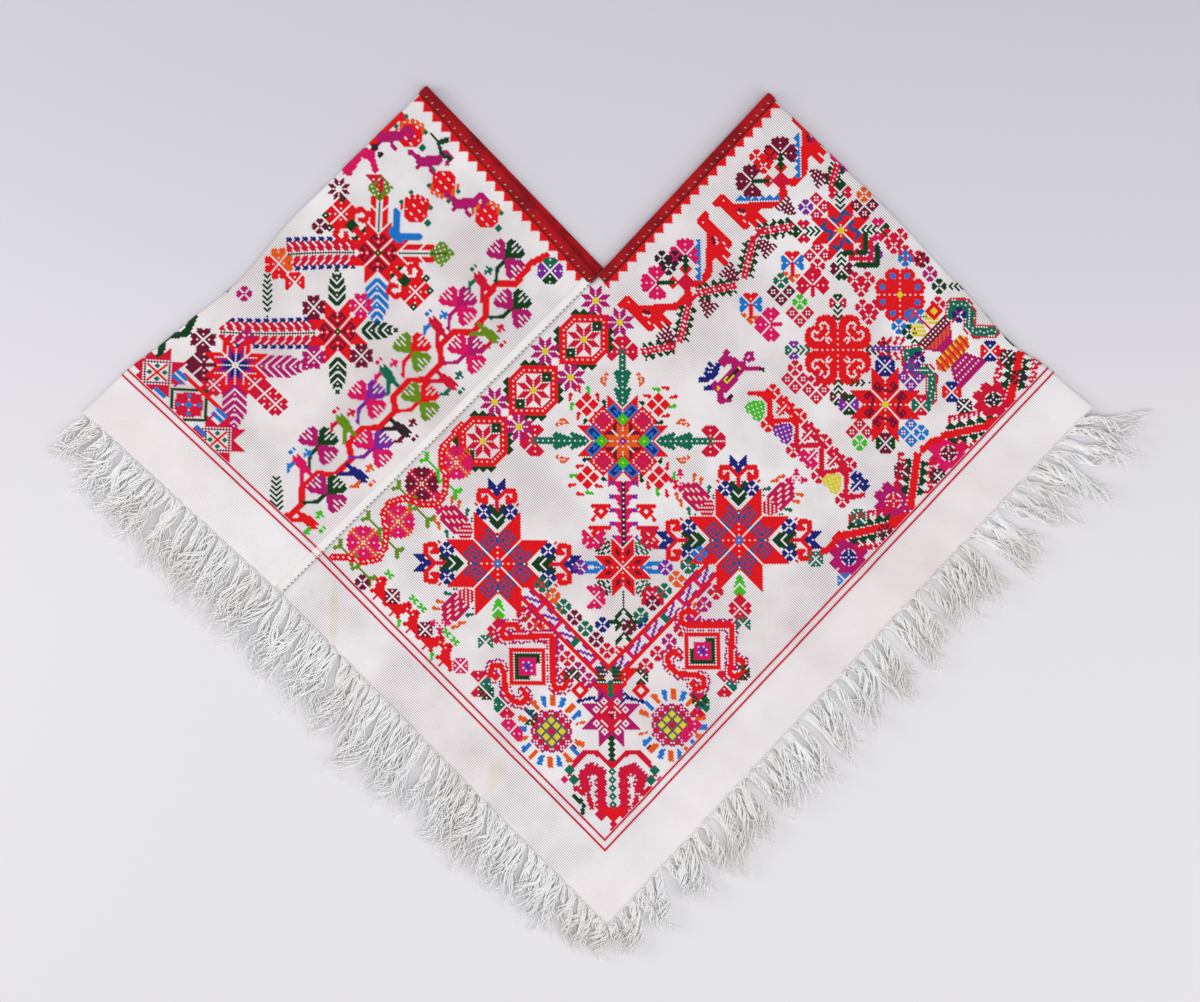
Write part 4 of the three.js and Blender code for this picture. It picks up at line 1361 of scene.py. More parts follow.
def basket():
    """Its rim runs along u, and it stands with its foot to the south-east."""
    m = Motif(60)
    down = -m.b
    waist = 10 - np.clip(down - 2, 0, 8) * 0.75
    m.sew("m", (down >= 2) & (down <= 12) & (m.A <= waist))
    m.sew("O", (down >= 3) & (down <= 6) & (m.A <= waist - 1) & ((m.a + down) % 3 > 0))
    foot = 4 + np.clip(down - 16, 0, 14) * 0.55
    m.sew("m", (down >= 16) & (down <= 30) & (m.A <= foot))
    m.sew(".", (down >= 17) & (down < 29) & (m.A < foot - 1) & (down % 3 == 0) & m.even)
    roll = (down >= 11) & (down <= 18) & (m.A <= 12 - abs(down - 14.5) * 0.7)
    m.sew("O", roll).sew("c", roll & (m.a % 3 == 0)).sew("y", roll & (m.a % 3 == 1) & (down % 7 > 2))
    m.sew("w", (abs(down) <= 2) & (m.A <= 13)).sew(".", (abs(down) == 1) & (m.A < 12) & m.even)
    for a in (-5, 5):
        m.sew("y", (np.hypot(m.a - a, (m.b - 7) * 0.9) <= 4.0) & ((m.a + m.b) % 3 > 0))
    m.sew("r", m.diamond(0, 8, 3.2)).sew("y", m.diamond(0, 8, 1.6))
    m.sew("r", (m.A <= 1) & (m.b > 2) & (m.b < 18) & m.even)
    course = [(6.4, 6), (7.2, 10.3), (11.8, 10.1), (14.1, 7.1), (13.4, 2.8), (15.7, 0.8), (23.6, 1.1)]
    snake = Motif(60)
    for letter, width in (("c", 4.8), (".", 3.5), ("t", 3.0)):
        snake.sew(letter, snake.line(course, width))
    snake.sew(".", snake.line(course[1:], 1.0) & ((snake.a - snake.b) % 3 == 0))
    m.add(snake).add(snake, 0, 0, 3, True)
    m.add(clover("n"), 16, -3).add(clover("n"), -16, -3)
    for side in (-1, 1):
        m.add(flower(5, "nrnr", notch=0.6), side * 15 + 1, -28)
    return m


basket().place(107, -150)


def key_star():
    m = Motif(30)
    m.star("r", 10, 8, 8)
    key = [(-4.4, 6.2), (-2.6, 8), (-4.2, 9.4), (-5.8, 7.8), (-3.6, 5.2), (-0.8, 6.6), (1.6, 5.2), (3.6, 5.2),
           (5.8, 7.8), (4.2, 9.4), (2.6, 8), (4.0, 6.8)]
    for turn, (letter, sides) in enumerate((("n", "n"), ("t", "c"), ("w", "g"), ("p", "g"))):
        one = Motif(30).sew("w", Motif(30).line([(e * 0.72, n * 0.72 + 1) for e, n in key], 0.9))
        one.add(flower(5, letter + sides + letter + sides, notch=0.5), 14, 14)
        m.add(one, 0, 0, turn)
    m.add(leafy("g", 3, 3), 0, 16, 3)
    for a, b, row, turn in ((20, 0, "pcp", 0), (0, -20, "bhb", 1), (-20, 0, "cgl", 2)):
        m.add(cluster(*row), a, b, turn)
    return m.sew("y", m.most <= 1)


key_star().place(62, -157)

dot_flower = flower(6, "rb b", notch=0.6)
dot_flower.sew("r", dot_flower.line([(0, 0), (0, -5)], 1.3)).add(clover("O"), -5, -9).add(clover("O"), -9, -3)
dot_flower.place(79, -70).place(48, -69)
for u0, v0, turn, letter in ((78, -86, 0, "c"), (48, -84, 3, "h")):
    recoloured(kite, "h", letter).place(u0, v0, turn)
cluster("w", "t", "t").place(64, -76)
cluster("c", "g", "l").place(63, -91)
for u0, v0, letter in ((37, -113, "p"), (41, -125, "w")):
    cluster("c", letter, "c").place(u0, v0)

# %% The horse, and the zigzag vine below it
figure(
    24, ("m", 4.6, (-4.6, -4.6), (2.2, 2.6)), ("m", 3.4, (2, 2.4), (-1.6, 5.2), (-4.4, 4.6)),
    ("m", 2.2, (-4.4, 4.4), (-3, 8.2)),
    ("m", 1.5, (3, 2.4), (4.6, 7.4), (6.6, 7.4), (6.8, 5.6), (5.6, 5.2)),
    ("m", 1.5, (3.4, 2), (9.6, 1.8)), ("k", 1.3, (9.8, 1.8), (10.8, 1.5)),
    ("m", 3.6, (-4.8, -5), (-7.4, -4.2)),
    ("m", 2.4, (-5.6, -6), (-5.4, -9.6)), ("m", 1.8, (-5.4, -9.8), (-2.2, -9.4)),
    ("k", 1.3, (-2, -8.8), (-1.4, -7.8)),
    ("n", 2.0, (-6.4, 3.2), (-7.6, 0.4), (-10.4, -1.8), (-13, -1.8)), ("n", 1.2, (-6.8, 2.4), (-9.8, 4)),
    ("n", 1.2, (-7.4, 1.2), (-10.4, 2)), ("n", 1.6, (-9, -0.6), (-11, 0.4)),
    ("n", 1.8, (-9.6, -4.6), (-11, -5)),
    (".", 1.6, (-1.8, 3.2)), ("y", 1.6, (-3.4, -2.4), (1.6, 2)), ("k", 0.9, (-3, -2), (1.4, 1.8)),
    ("y", 1.5, (-6.2, -5))).place(16, -88)


def vine_heart(letter, speckled):
    """Two round lobes that grow north-east, along u, from a serrated or speckled base."""
    m = Motif(7)
    body = (m.a >= 0) & (m.B <= 5) & (m.a + 0.6 * abs(m.B - 2.5) <= 5.6)
    base = (m.a < 0) & (m.a >= -4) & (m.B <= 5 + m.a)
    if speckled:
        return m.sew(letter, body | base).sew(".", (body | base) & ((m.a + 2 * m.b) % 5 == 0) & (m.a > -4))
    m.sew(letter, body | (base & (m.a < -1) & ((m.a + m.b) % 2 == 0)) | (base & (m.B == 1)))
    return m.sew(".", body & (m.a == m.B) & m.even & (m.a > 0)).sew(".", (m.B == 0) & (m.a < 3))


corners = [(0, 0), (-0.4, -10), (10.2, -9.1), (9.6, -19.3), (19.5, -18.4), (19, -29.2), (29, -27.3),
           (28.2, -37.9)]
zigzag = figure(90, ("r", 1.8, (-8, 0.6), *corners[:3]), ("c", 1.8, *corners[2:], (35.4, -37.3)))
for index, (e, n) in enumerate(corners):
    outer = index % 2 == 0
    letter = "r" if index < 3 else "c"
    zigzag.add(clover(letter), n + e + (2 if outer else -2), n - e, 0)
    inward = -1 if outer else 1  # each corner is filled on its inner side
    zigzag.sew(letter, ((zigzag.e - e) * inward >= 0) & ((zigzag.n - n) * inward >= 0)
               & (abs(zigzag.a - n - e) <= 4))
    zigzag.add(vine_heart("lphy"[index // 2] if outer else "rccn"[index // 2], outer and index != 4),
               n + e + (-9.5 if outer else 10), n - e, 2 if outer else 0)
zigzag.place(22, -109)

# %% The stepped frames, small stars and looped vine beside the seam
def stepped_frame():
    m = Motif(22)
    far = m.far
    inside = (far <= 9) & (m.B <= 13)  # the corners to north-west and south-east are cut off
    m.sew("r", inside & ~((far <= 6) & (m.B <= 9)))
    middle_line = (abs(far - 7.5) < 0.3) & (m.B <= 11) | (m.B == 11) & (far < 7.5)
    m.sew(".", middle_line & ((m.e + m.n) % 2 == 0))
    m.sew("c", m.petals(5, 3)).sew("y", m.most <= 1)
    for a in (10, -10):
        m.sew("g", (abs(m.e - a / 2) <= 1.6) & (abs(m.n - a / 2) <= 1.6)).sew(".", (m.a == a) & (m.b == 0))
    for side in (-1, 1):
        for t in (-3, 0, 3):
            m.sew("g", m.diamond(side * 9.6, t, 1.6) & (m.E > 9))
            m.sew("g", m.diamond(t, side * 9.6, 1.6) & (m.N > 9))
    return m


for place in (-28, -66, -103.5):
    stepped_frame().place(place, -17.6)
for u0, v0 in ((-9, -8), (-8, -25), (-47, -8), (-47, -27), (-85, -26), (-85, -8)):
    small_star(4, 3, "m", "y").place(u0, v0)
for index, u0 in enumerate((-122, -143, -166, -187)):
    petals, dots = ("hhhh", "O") if index != 1 else ("wwww", "c")
    loop = Motif(22).add(hearts(8, petals))
    loop.sew(dots, (loop.most <= 9) & (loop.least <= 1) & (loop.most % 2 == 0))
    loop.sew(dots, (loop.most > 7) & (loop.least < 3) & ((loop.a + loop.b) % 2 == 0) & (loop.most < 10))
    loop.sew("y", loop.most <= 0)
    loop.place(u0, -16 if index % 2 == 0 else -11)
    green = "l" if index == 0 else "o"
    leaf = figure(12, (green, 1.3, (-2, 2), (2.5, -2.5)), (green, 1.6, (2, -2), (4.2, -1.6)),
                  (green, 1.6, (2, -2.4), (2.2, -4.6)), (green, 1.4, (-4.2, 1.6), (-2, 2), (-2, 4.2)))
    leaf.place(u0 - 10, -8).place(u0 - 11, -22)
course = [(15.7, 28), (12.2, 23.1), (8.4, 18.7), (8.4, 13.2), (10.2, 8.4), (9.5, 2.3), (6.4, -1.5),
          (0.8, -1.5), (-5.4, 0.6), (-10.9, -1.1), (-13.5, -5.4), (-12.3, -10.3), (-13, -17.6),
          (-15.5, -21.9), (-21.1, -23.2), (-27.2, -21.5), (-32.8, -21.6)]
winding = figure(60, ("r", 2.4, *course))
winding.sew(".", winding.line(course, 0.8) & winding.even).place(-150, -16)

# %% Borders along the hem
def dashed_flower(letter, middle):
    m = Motif(13)
    lobes = np.minimum(np.hypot(m.E - 2.4, m.N - 5.4), np.hypot(m.E - 5.4, m.N - 2.4)) <= 2.1
    m.sew(letter, lobes | (np.hypot(m.e, m.n) <= 5.2)).sew(".", (m.most > 9) & m.even)
    m.sew(".", (np.hypot(m.e, m.n) <= 3.1) & (np.hypot(m.e, m.n) > 2.3)).sew(middle, m.most <= 3)
    return m.sew(".", (m.A == m.B) & (m.most <= 3) & (m.most > 0))


def curled_bar(e, n, start=2.0):
    """A thick dotted bar to (e, n), with green triangles on its sides, and curls on them."""
    m, along, beside, long = bar(e, n)
    on = (along >= 0) & (along <= long)
    m.sew("r", on & (abs(beside) <= 1.4))
    m.sew(".", on & (abs(beside) > 1.4) & (abs(beside) <= 2) & m.even)
    inner = on & (along > start) & (along < long - 3)
    m.sew("g", inner & (abs(beside) > 1.8) & (abs(beside) <= 5.0 - abs((along - start) % 3.6 - 1.8) * 1.5))
    for side in (-1, 1):
        for t in np.arange(start + 1.8, long - 3, 3.6):
            hook_line = [(t, side * 4.6), (t + 0.4, side * 6.6), (t + 2.2, side * 6.6), (t + 2.2, side * 5.4)]
            m.sew("c", m.line([((x * e - y * n) / long, (x * n + y * e) / long) for x, y in hook_line], 1.1))
    return m


for index, (u0, v0) in enumerate(((104, -197), (67, -199), (29, -195), (-9, -198))):
    dashed_flower("chmm"[index], "kwcn"[index]).place(u0, v0)
for u0, v0, e, n in ((108, -204, 5.5, 20), (72, -190, 22, 3), (32, -204, 3.8, 21), (-3, -188, 23, 4.4)):
    curled_bar(e, n, 5.0 if n > e else 2.0).place(u0, v0)
figure(30, ("r", 3.0, (-1, 0.6), (0, 0)),
       ("r", 2.4, (-8, -6), (-4, -3.4), (-2, 0), (0.4, 0.6))).place(-4, -188)
figure(12, ("r", 2.6, (-3, -0.6), (0, 0), (3, 1.2))).place(97, -206).place(25, -204)
figure(12, ("r", 2.6, (-3.2, -3), (0, 0), (3, 0.4))).place(66, -188)
for u0, v0, letter in (
        (121, -198, "k"), (92, -188, "k"), (54, -203, "k"), (44, -187, "w"), (14, -203, "w"), (10, -187, "t"),
        (-19, -205, "b"), (-22, -186, "t"), (127, -187, "k")):
    flower(4, letter * 4, notch=0.7).place(u0, v0)

hem_animal = figure(
    14, ("r", 3.6, (0.6, 1.4), (0.2, -0.6)), ("r", 2.7, (2, 4)), ("r", 2, (1.4, 2.2), (2, 4)),
    ("r", 1.3, (1.8, 4.5), (-0.8, 4)),
    ("r", 2.6, (0.8, -0.6), (1.6, -2.8)), ("r", 1.3, (1.6, -3), (2.2, -4.8)), ("r", 1.3, (-1, 0.4), (-3, 0)),
    ("r", 1.2, (-0.4, -1), (-1.6, -2.8)), ("w", 1.0, (2, 3.9)))
sprig = chart("l l", "lll", " l ", "lll", "l l")
for v0, facing in ((-34, 1), (-48, -1), (-58, 1), (-72, -1), (-82, 1)):
    hem_animal.place(-199, v0, *along_v(facing))
    sprig.place(-189, v0 + 2 * facing)
for v0, letter in ((-41, "w"), (-65, "w"), (-91, "h")):
    flower(4, letter * 4, notch=0.7).place(-196, v0)
for v0 in (-53, -77):
    recoloured(slip, "t", "l").place(-203, v0)
clover("w").place(-202, -25)
for u0, v0, turn in ((-196, -104, 0), (-193, -122, 3), (-103, -196, 1), (-121, -193, 1)):
    flower(6, "tc c" if turn else "ctc ", notch=0.4).place(u0, v0, turn)
flower(6, "hh  ", notch=0.3).place(-203, -133).place(-133, -203, 3)

# %% The hooked bands round dotted squares, beside the vase
def hooked_square():
    m = Motif(34)
    course = [(-3, 13.4), (-4.3, 15.2), (-7.7, 15.2), (-9.6, 12.6), (-8.6, 10.2), (-4.6, 10.6),
              (9.4, 11.4), (9.4, -5.6), (10.4, -8), (13.4, -7.8), (15, -5), (13.4, -2.4)]
    small = [(-12, -4.2), (-14, -2.8), (-13.2, 0), (-10, 0.4), (-8.8, -3), (-8.4, -8.8),
             (-6.4, -12.2), (-2.4, -13.4), (-0.4, -11), (-1.6, -8.8)]
    for way in (course, small):
        m.sew("m", m.line(way, 4.6) & ((m.a + 2 * m.b) % 4 != 1))
        m.sew(".", m.line(way, 3.0)).sew("r", m.line(way, 2.2))
    far = m.far
    m.sew(".", far <= 7.2).sew("r", far <= 6.5).sew(".", far <= 5.2)
    m.sew("g", (far <= 4.8) & ((m.e < 1) | (m.n > 1)))
    m.sew(".", far <= 3.4).sew("h", far <= 3).sew("p", far <= 1.6)
    m.sew(".", (far == 1.5) & m.even).sew("n", far == 0)
    return m


hooked_square().place(-171, -116).place(-99, -175.6, 1, True)
for u0, v0, letter, turn in (
        (-178, -92, "t", 0), (-196, -110, "g", 2), (-189, -135, "g", 1), (-74, -182, "t", 0),
        (-92, -199, "g", 1), (-118, -192, "g", 2), (-132, -162, "g", 1), (-158, -136, "g", 0)):
    flower(4, letter * 2 + " " + letter, notch=0.6).place(u0, v0, turn)

# %% The left front: the vine beside the seam, its heart flowers and its birds
VINE = (
    (-12, 27), (-21, 30), (-34, 28), (-41, 35), (-50, 34), (-57, 27), (-68, 26), (-75, 33), (-85, 33),
    (-91, 26), (-103, 26), (-110, 32), (-121, 32), (-126, 26), (-138, 26), (-145, 32), (-155, 31),
    (-160, 24), (-172, 24), (-178, 31), (-189, 31), (-195, 25), (-204, 25), (-210, 29))
figure(140, ("r", 2.4, *[((u0 - v0 + 135) / 2, (u0 + v0 + 75) / 2) for u0, v0 in VINE])).place(-105, 30)
HEART_COLOURS = "mgmg", "hmhm", "oror", "hphp", "mgmg"  # three hearts and the stem
for index, colours in enumerate(HEART_COLOURS):
    for side, u0, v0 in ((1, -29 - 34.5 * index, 41), (-1, -44 - 34.5 * index, 19.5)):
        group = Motif(24)
        for letter, turn in zip(colours, (0, 1, 2)):
            group.add(heart_leaf(letter), 0, 0, turn)
        group.sew(colours[3], group.line([(0, 0), (-3, -3.4), (-3.4, -8.5)], 1.3))
        group.place(u0, v0, *along_v(side))
bird = figure(
    14, ("r", 3.4, (-2.2, 2.6), (0.6, -1.2)), ("r", 2.2, (-2.8, 3.4)), ("r", 1.6, (-0.4, -1.6), (-0.6, -6.4)),
    ("r", 1.4, (1.4, -1.6), (3.4, -3.6)), (".", 0.9, (-2.8, 3.6)), ("t", 1.8, (-4.6, 5)),
    ("t", 1.2, (-3.2, 6.2)), ("t", 1.3, (0.8, 4), (2.6, 5.4)), ("t", 1.2, (1.4, 5.6), (2.2, 3.8)),
    ("t", 1.2, (-5.2, 0), (-3.4, 0.6)), ("t", 1.2, (-5, -0.4), (-5.2, -2)))
for u0, v0, side, colours in (
        (-46, 40, 1, "ct"), (-79, 40, 1, "cb"), (-115, 41, 1, "th"), (-149, 39, 1, "oc"), (-180, 39, 1, "hb"),
        (-62, 20, -1, "oc"), (-95, 18, -1, "ct"), (-130, 18, -1, "kw"),
        (-163, 17, -1, "nO"), (-199, 18, -1, "rl")):
    recoloured(bird, "rt", colours).place(u0, v0, *along_v(side))
leafy("g", 8, 5).place(-209, 29)
flower(6, "pgpt", notch=0.4).place(-16, 20, 1)

# %% The left front's stars, with ladders that run to the shoulder
def heart_star():
    """A star with a scrolled heart to each side."""
    m = Motif(20)
    m.star("r", 9, 6, 6)
    heart = Motif(16)
    for side in (-1, 1):
        course = [(0, 2.4), (side * 2.6, 4.4), (side * 2.4, 6), (side, 6.2), (side, 5)]
        heart.sew("w", heart.line(course, 1.0))
    m.all_round(heart, 0, 0)
    return m.sew("g", m.most == 1).sew("y", m.most == 0)


def red_arm(length, tip):
    """Two red bars with a dark dotted line between, and a kite of two-coloured thread, to the north."""
    m = Motif(length + 14)
    on = (m.n > 7) & (m.n < length)
    m.sew("r", on & (m.E > 1) & (m.E <= 3.4) & ((m.n - m.E) % 7 > 0.9))
    m.sew("g", on & (m.e == 0)).sew(".", on & (m.E == 0.5))
    kite_at = m.low
    m.sew(tip, (kite_at > length - 3) & (m.most <= length + 7) & ((m.a + 2 * m.b) % 5 > 0))
    return m.sew("g", (m.e == 0) & (m.n >= length) & (m.n < length + 5))


def ladder(length):
    """Runs west: a dark dotted line, crimson flames on both sides and navy blocks outside."""
    m = Motif(length + 6)
    west = -m.e
    on = (west > 8) & (west < length)
    m.sew("c", on & (m.N > 0.9) & (m.N <= 4.2) & ((west - m.N * 0.6) % 3 > 0.8))
    m.sew("n", on & (m.N > 4.4) & (m.N <= 5.8) & ((west + 1) % 3 < 2))
    return m.sew("g", on & (m.n == 0)).sew(".", on & (m.N == 0.5))


def scroll_flower():
    """Grows north-west: two scrolls on a stem, then a flower of four petals with green hearts."""
    m = Motif(34)
    for mirror in (False, True):
        swirl = Motif(34)
        course = [(-6, 6), (-10, 9), (-10.5, 13.5), (-7, 16), (-4, 14), (-5, 11.5), (-7, 12)]
        m.add(swirl.sew("r", swirl.line(course, 1.9)), 0, 0, 3 if mirror else 0, mirror)
    m.sew("r", m.line([(-5, 5), (-11, 11)], 2.0))
    m.add(flower(7, "rrrr", notch=0.5), 0, 28)
    m.sew("g", (m.A <= 2) & (abs(m.b - 20) <= 2)).sew("g", (m.A <= 5) & (m.A > 1) & (m.b > 12) & (m.b < 15))
    for a, b in ((-6, 33), (6, 33), (0, 37), (-9, 27)):
        m.sew("g", (abs(m.a - a) <= 1) & (abs(m.b - b) <= 1) & (abs(m.a - a) + abs(m.b - b) > 0))
    return m


def strawberry_motif():
    m = Motif(14)
    far = np.hypot(m.a, m.b)
    m.sew("r", far <= 6.4).sew(".", (far <= 5.4) & (m.a % 4 == 1) & ((m.b + m.a // 4 * 2) % 4 > 1))
    m.sew("O", (m.n > 0) & (far > 5.4) & (far <= 8.2) & ((m.a - m.b) % 4 < 3))
    for e, n in ((-5.6, 3), (-2, 6.4), (5.4, 1), (4.6, -4.4)):
        m.sew("t", m.diamond(e, n, 1.3))
    return m


strawberry = strawberry_motif()

star_a = Motif(44)
star_a.add(red_arm(21, "o"), 0, 0, 0).add(red_arm(21, "o"), 0, 0, 1)
star_a.add(feather("b", 9, 6, 4), 0, 0, 2).add(ladder(34))
star_a.add(scroll_flower()).add(scroll_flower(), 0, 0, 2).add(heart_star())
star_a.sew("b", star_a.line([(6.4, 15), (6.4, 6), (15, 6)], 2.2)).sew("b", star_a.line([(5, 8), (8, 5)], 3))
star_a.place(-75, 90)
recoloured(strawberry, "rOg", "rrk").place(-46, 92)
small_star(3, 2, "w").place(-67, 128)
clover("w").place(-87, 121)
flower(6, "cc  ", notch=0.8).place(-53, 117)

star_b = Motif(44)
for turn in (0, 1, 2):
    star_b.add(feather("g", 9, 5, 3), 0, 0, turn)
star_b.add(ladder(43))
for (a, b), letter in zip(((0, 18), (18, 0), (0, -18), (-18, 0)), "whwm"):
    star_b.add(hearts(6, letter * 4), a, b)
star_b.add(heart_star()).place(-118, 76.7)

star_c = Motif(44)
star_c.add(feather("m", 8, 6, 4), 0, 0, 1).add(feather("m", 7, 6, 4), 0, 0, 2)
star_c.add(hearts(6, "wwww"), -2, 21).add(clover("m"), 14, 8)
for a, b in ((0, -14), (0, -21), (0, -29), (-15, 0)):
    star_c.add(flower(5, "cccc"), a, b)
star_c.add(recoloured(kite, "h", "w"), -11, 11, 3).sew("w", star_c.line([(-9, 0), (-15, 0)], 1.2))
star_c.sew("r", star_c.petals(9, 6)).sew(".", star_c.petals(6, 4)).sew("m", star_c.petals(5, 4))
star_c.sew("n", star_c.petals(3, 3)).sew(".", star_c.dots() & (star_c.most < 6)).sew("y", star_c.most == 0)
star_c.place(-167, 100.6)
figure(20, ("g", 2.4, (-15, -8), (-14.6, 2), (-12.6, 4.6), (-6.4, 5.6), (-5.2, 9), (-4, 12))).place(-172, 118)

for u0, v0, turn in ((-22, 122, 0), (-26, 92, 2), (-21, 64, 0)):
    strawberry.place(u0, v0, turn)
pecking = figure(
    18, ("m", 3.6, (-3.4, 0), (3, 0.6)), ("m", 2.4, (3, 1), (5.4, 3), (7.6, 1.6)),
    ("m", 1.6, (7.4, 1.8), (6.6, -0.6)), ("m", 1.8, (-3, 0.6), (-7.4, 3.4)),
    ("m", 1.4, (-0.4, -1), (1.4, -4.2)), ("m", 1.2, (-3.2, -1), (-4.6, -2.4)))
for u0, v0 in ((-24, 105), (-25, 76), (-30, 128)):
    pecking.place(u0, v0)
figure(10, ("g", 1.4, (-4, 4), (-1, 1), (0, -3), (4, -5)), ("g", 1.8, (0, 1), (2, 2))).place(-14, 107)
figure(16, ("h", 4.4, (-4, 2), (-7, -3)), ("h", 3.6, (-4, 3), (1, 2.6)), ("h", 2.4, (1, 2.6), (3, -3)),
       ("k", 2.6, (2.6, 5)), ("k", 2.2, (4.8, 2.4)), ("n", 1.6, (-9, 0), (-8, 1.6)),
       ("h", 1.6, (-9, -1), (-6, -4.4))).place(-47, 128)
hearts(7, "OOrr").place(-115, 124)
leafy("g", 7, 4).place(-136, 112)
flower(5, "rr r", notch=0.5).place(-116, 111)
clover("m").place(-138, 127)

# %% The band of stars and squares above the left hem
def hem_star():
    m = Motif(16)
    m.sew("c", m.petals(8, 5)).sew("c", m.most <= 5)
    far = m.far
    m.sew(".", far <= 4.5).sew("w", (far <= 4.1) & (far >= 3.4) & ((m.a + m.b) % 2 == 0)).sew(" ", far < 3)
    m.sew(".", far < 3.2).sew("r", (m.least <= 0) & (far < 3.4))
    m.sew("t", (m.A == m.B) & (m.most < 4) & (m.most > 1))
    return m.sew("t", (abs(m.A - m.B) <= 1) & (m.least == 2))


def framed_square():
    m = Motif(16)
    far = m.far
    m.sew("g", (far <= 6.2) & (far > 5)).sew("c", m.petals(3, 4) & (far < 4.8))
    m.sew("c", (m.least <= 3) & (far < 4.4) & (m.A != m.B)).sew("b", np.hypot(m.e, m.n) <= 1.4)
    for e, n in ((3.6, 0), (-3.6, 0), (0, 3.6), (0, -3.6)):
        m.sew("b", m.diamond(e, n, 1))
    return m


hem_star().place(-197, 124).place(-201, 78)
framed_square().place(-198, 101)
edge = Motif(30)
edge.sew("r", np.isin(edge.a, (-9, -8, 10, 11)) & (edge.B < 15))
for b in (-14, 14):
    for a in (-6, 8):
        edge.sew("b", (abs(edge.a - a) <= 2) & (abs(edge.b - b) <= 3) & (edge.a != a))
edge.sew("m", (abs(edge.a - 5) <= 2) & (edge.B == 12))
edge.place(-199, 101)

# %% [markdown]
# ## From chart to thread
# A cross-stitch is two short thread legs that lie over each other on one square of the weave. Each
# leg is a closed, four-sided sliver: low where it enters the cloth, high and wide in the middle.
# On the back, which lies on the table, one fat leg stands for both. All stitches of a colour are one
# mesh. The back is sewn as the front is, mirrored, since its panels are the same.

# %% Where a square of the chart lies on the cape
NECK_BARE, HEM_BARE, SEAM_BARE = 5, 205, 6
u, v = np.mgrid[-HALF:HALF, -HALF:HALF]
long_part = (v <= -1) & ((u < 0) | (v <= -NECK_BARE)) & (v >= -HEM_BARE) & (u >= -HEM_BARE) & (u < 150)
short_part = (v >= SEAM_BARE) & (u <= -NECK_BARE) & (u >= -HEM_BARE) & (v < 150)

PARTS = {  # the panel, whether it is on the back there, and the part's quarter of the thread's map
    ("long", "front"): ("right", False, (0, 0)), ("long", "back"): ("left", True, (0, 1)),
    ("short", "front"): ("left", False, (1, 0)), ("short", "back"): ("right", True, (1, 1)),
}
FULL, LOW, HIGH = 1.12, 0.28, 0.44  # how far a leg overlaps its square, and how high the legs stand
GROUND = OUTER - 0.02


def slivers(middle, leg, aside, normal, width, height):
    """One closed sliver for each middle: leg is half its length, aside half its greatest width."""
    ends = [middle - leg, middle + leg, middle - aside * width + normal * height,
            middle + aside * width + normal * height]
    return np.stack(ends, axis=1)


SLIVER = np.array([[0, 2, 3], [1, 3, 2], [0, 1, 2], [1, 0, 3]])


def sliver_faces(points, normal):
    """The slivers' faces, each sliver with its outside out."""
    spans = np.cross(points[:, 2] - points[:, 0], points[:, 3] - points[:, 0])
    outward = np.einsum("ij,ij->i", spans, normal) > 0
    faces = np.where(outward[:, None, None], SLIVER[None], SLIVER[None, :, ::-1])
    return (faces + 4 * np.arange(len(points))[:, None, None]).reshape(-1, 3)


def stitched(part, layer, along, across):
    """Points, faces and map places of stitches at counts along and across a part."""
    panel, on_back, quarter = PARTS[part, layer]
    towards = -1 if on_back else 1
    length = length_at(panel, 0.0, on_back) + towards * along * STITCH
    middle, lengthwise, crosswise, normal = cloth_frame(panel, length, across * STITCH)
    middle = middle + normal * GROUND
    half = STITCH / 2 * FULL
    first, second = (lengthwise * towards + crosswise) * half, (lengthwise * towards - crosswise) * half
    if on_back:
        legs = [slivers(middle, first, second, normal, 1.0, LOW)]
    else:
        legs = [slivers(middle, first, second, normal, 0.84, LOW),
                slivers(middle, second, first, normal, 0.8, HIGH)]
    points = np.concatenate(legs)
    faces = sliver_faces(points, np.concatenate([normal] * len(legs)))
    corner = np.array([[-0.4, -0.4], [0.4, 0.4], [-0.4, 0.4], [0.4, -0.4]])
    place = np.concatenate([np.stack([along, across], axis=-1)] * len(legs))
    places = (place[:, None] + corner[None] + [HALF, 0]).reshape(-1, 2) / (2 * HALF)
    return points.reshape(-1, 3), faces, places * [0.5, 1.0] * 0.999 + np.multiply(quarter, 0.5)


def joined(parts):
    """Puts several (points, faces, places) together."""
    start, all_faces = 0, []
    for points, faces, _ in parts:
        all_faces.append(faces + start)
        start += len(points)
    return (np.concatenate([p[0] for p in parts]), np.concatenate(all_faces),
            np.concatenate([p[2] for p in parts]))


# %% Neck band and triangles, in red
TOOTH = 7
for part, along, across in ((long_part, u, -v), (short_part, v, -u)):
    depth = across - NECK_BARE
    tooth = abs((along + 3) % TOOTH - 3)
    counted[part & (along > 0) & (along < 134) & (depth >= 0) & (depth < 5 - tooth)] = code("r")
sewn = (counted > 0) & (counted != UNPICKED)

# %% The cross-stitch
thread_materials = {letter: thread_finish(name, shade) for letter, (name, shade) in THREADS.items()}
total = 0
for letter, (name, _) in THREADS.items():
    here = sewn & (counted == code(letter))
    parts = []
    for part, inside, along, across in (("long", long_part, u, -v), ("short", short_part, v, -u)):
        chosen = here & inside
        for layer in ("front", "back"):
            parts.append(stitched(part, layer, along[chosen], across[chosen]))
    points, faces, places = joined(parts)
    add_piece(f"{name}_stitches", points, faces, thread_materials[letter], places,
              smooth=False)
    print(f"{name}: {len(faces)} triangles")
    total += len(faces)
print("cross-stitch:", total, "triangles,", int((sewn & (long_part | short_part)).sum()), "stitches a side")


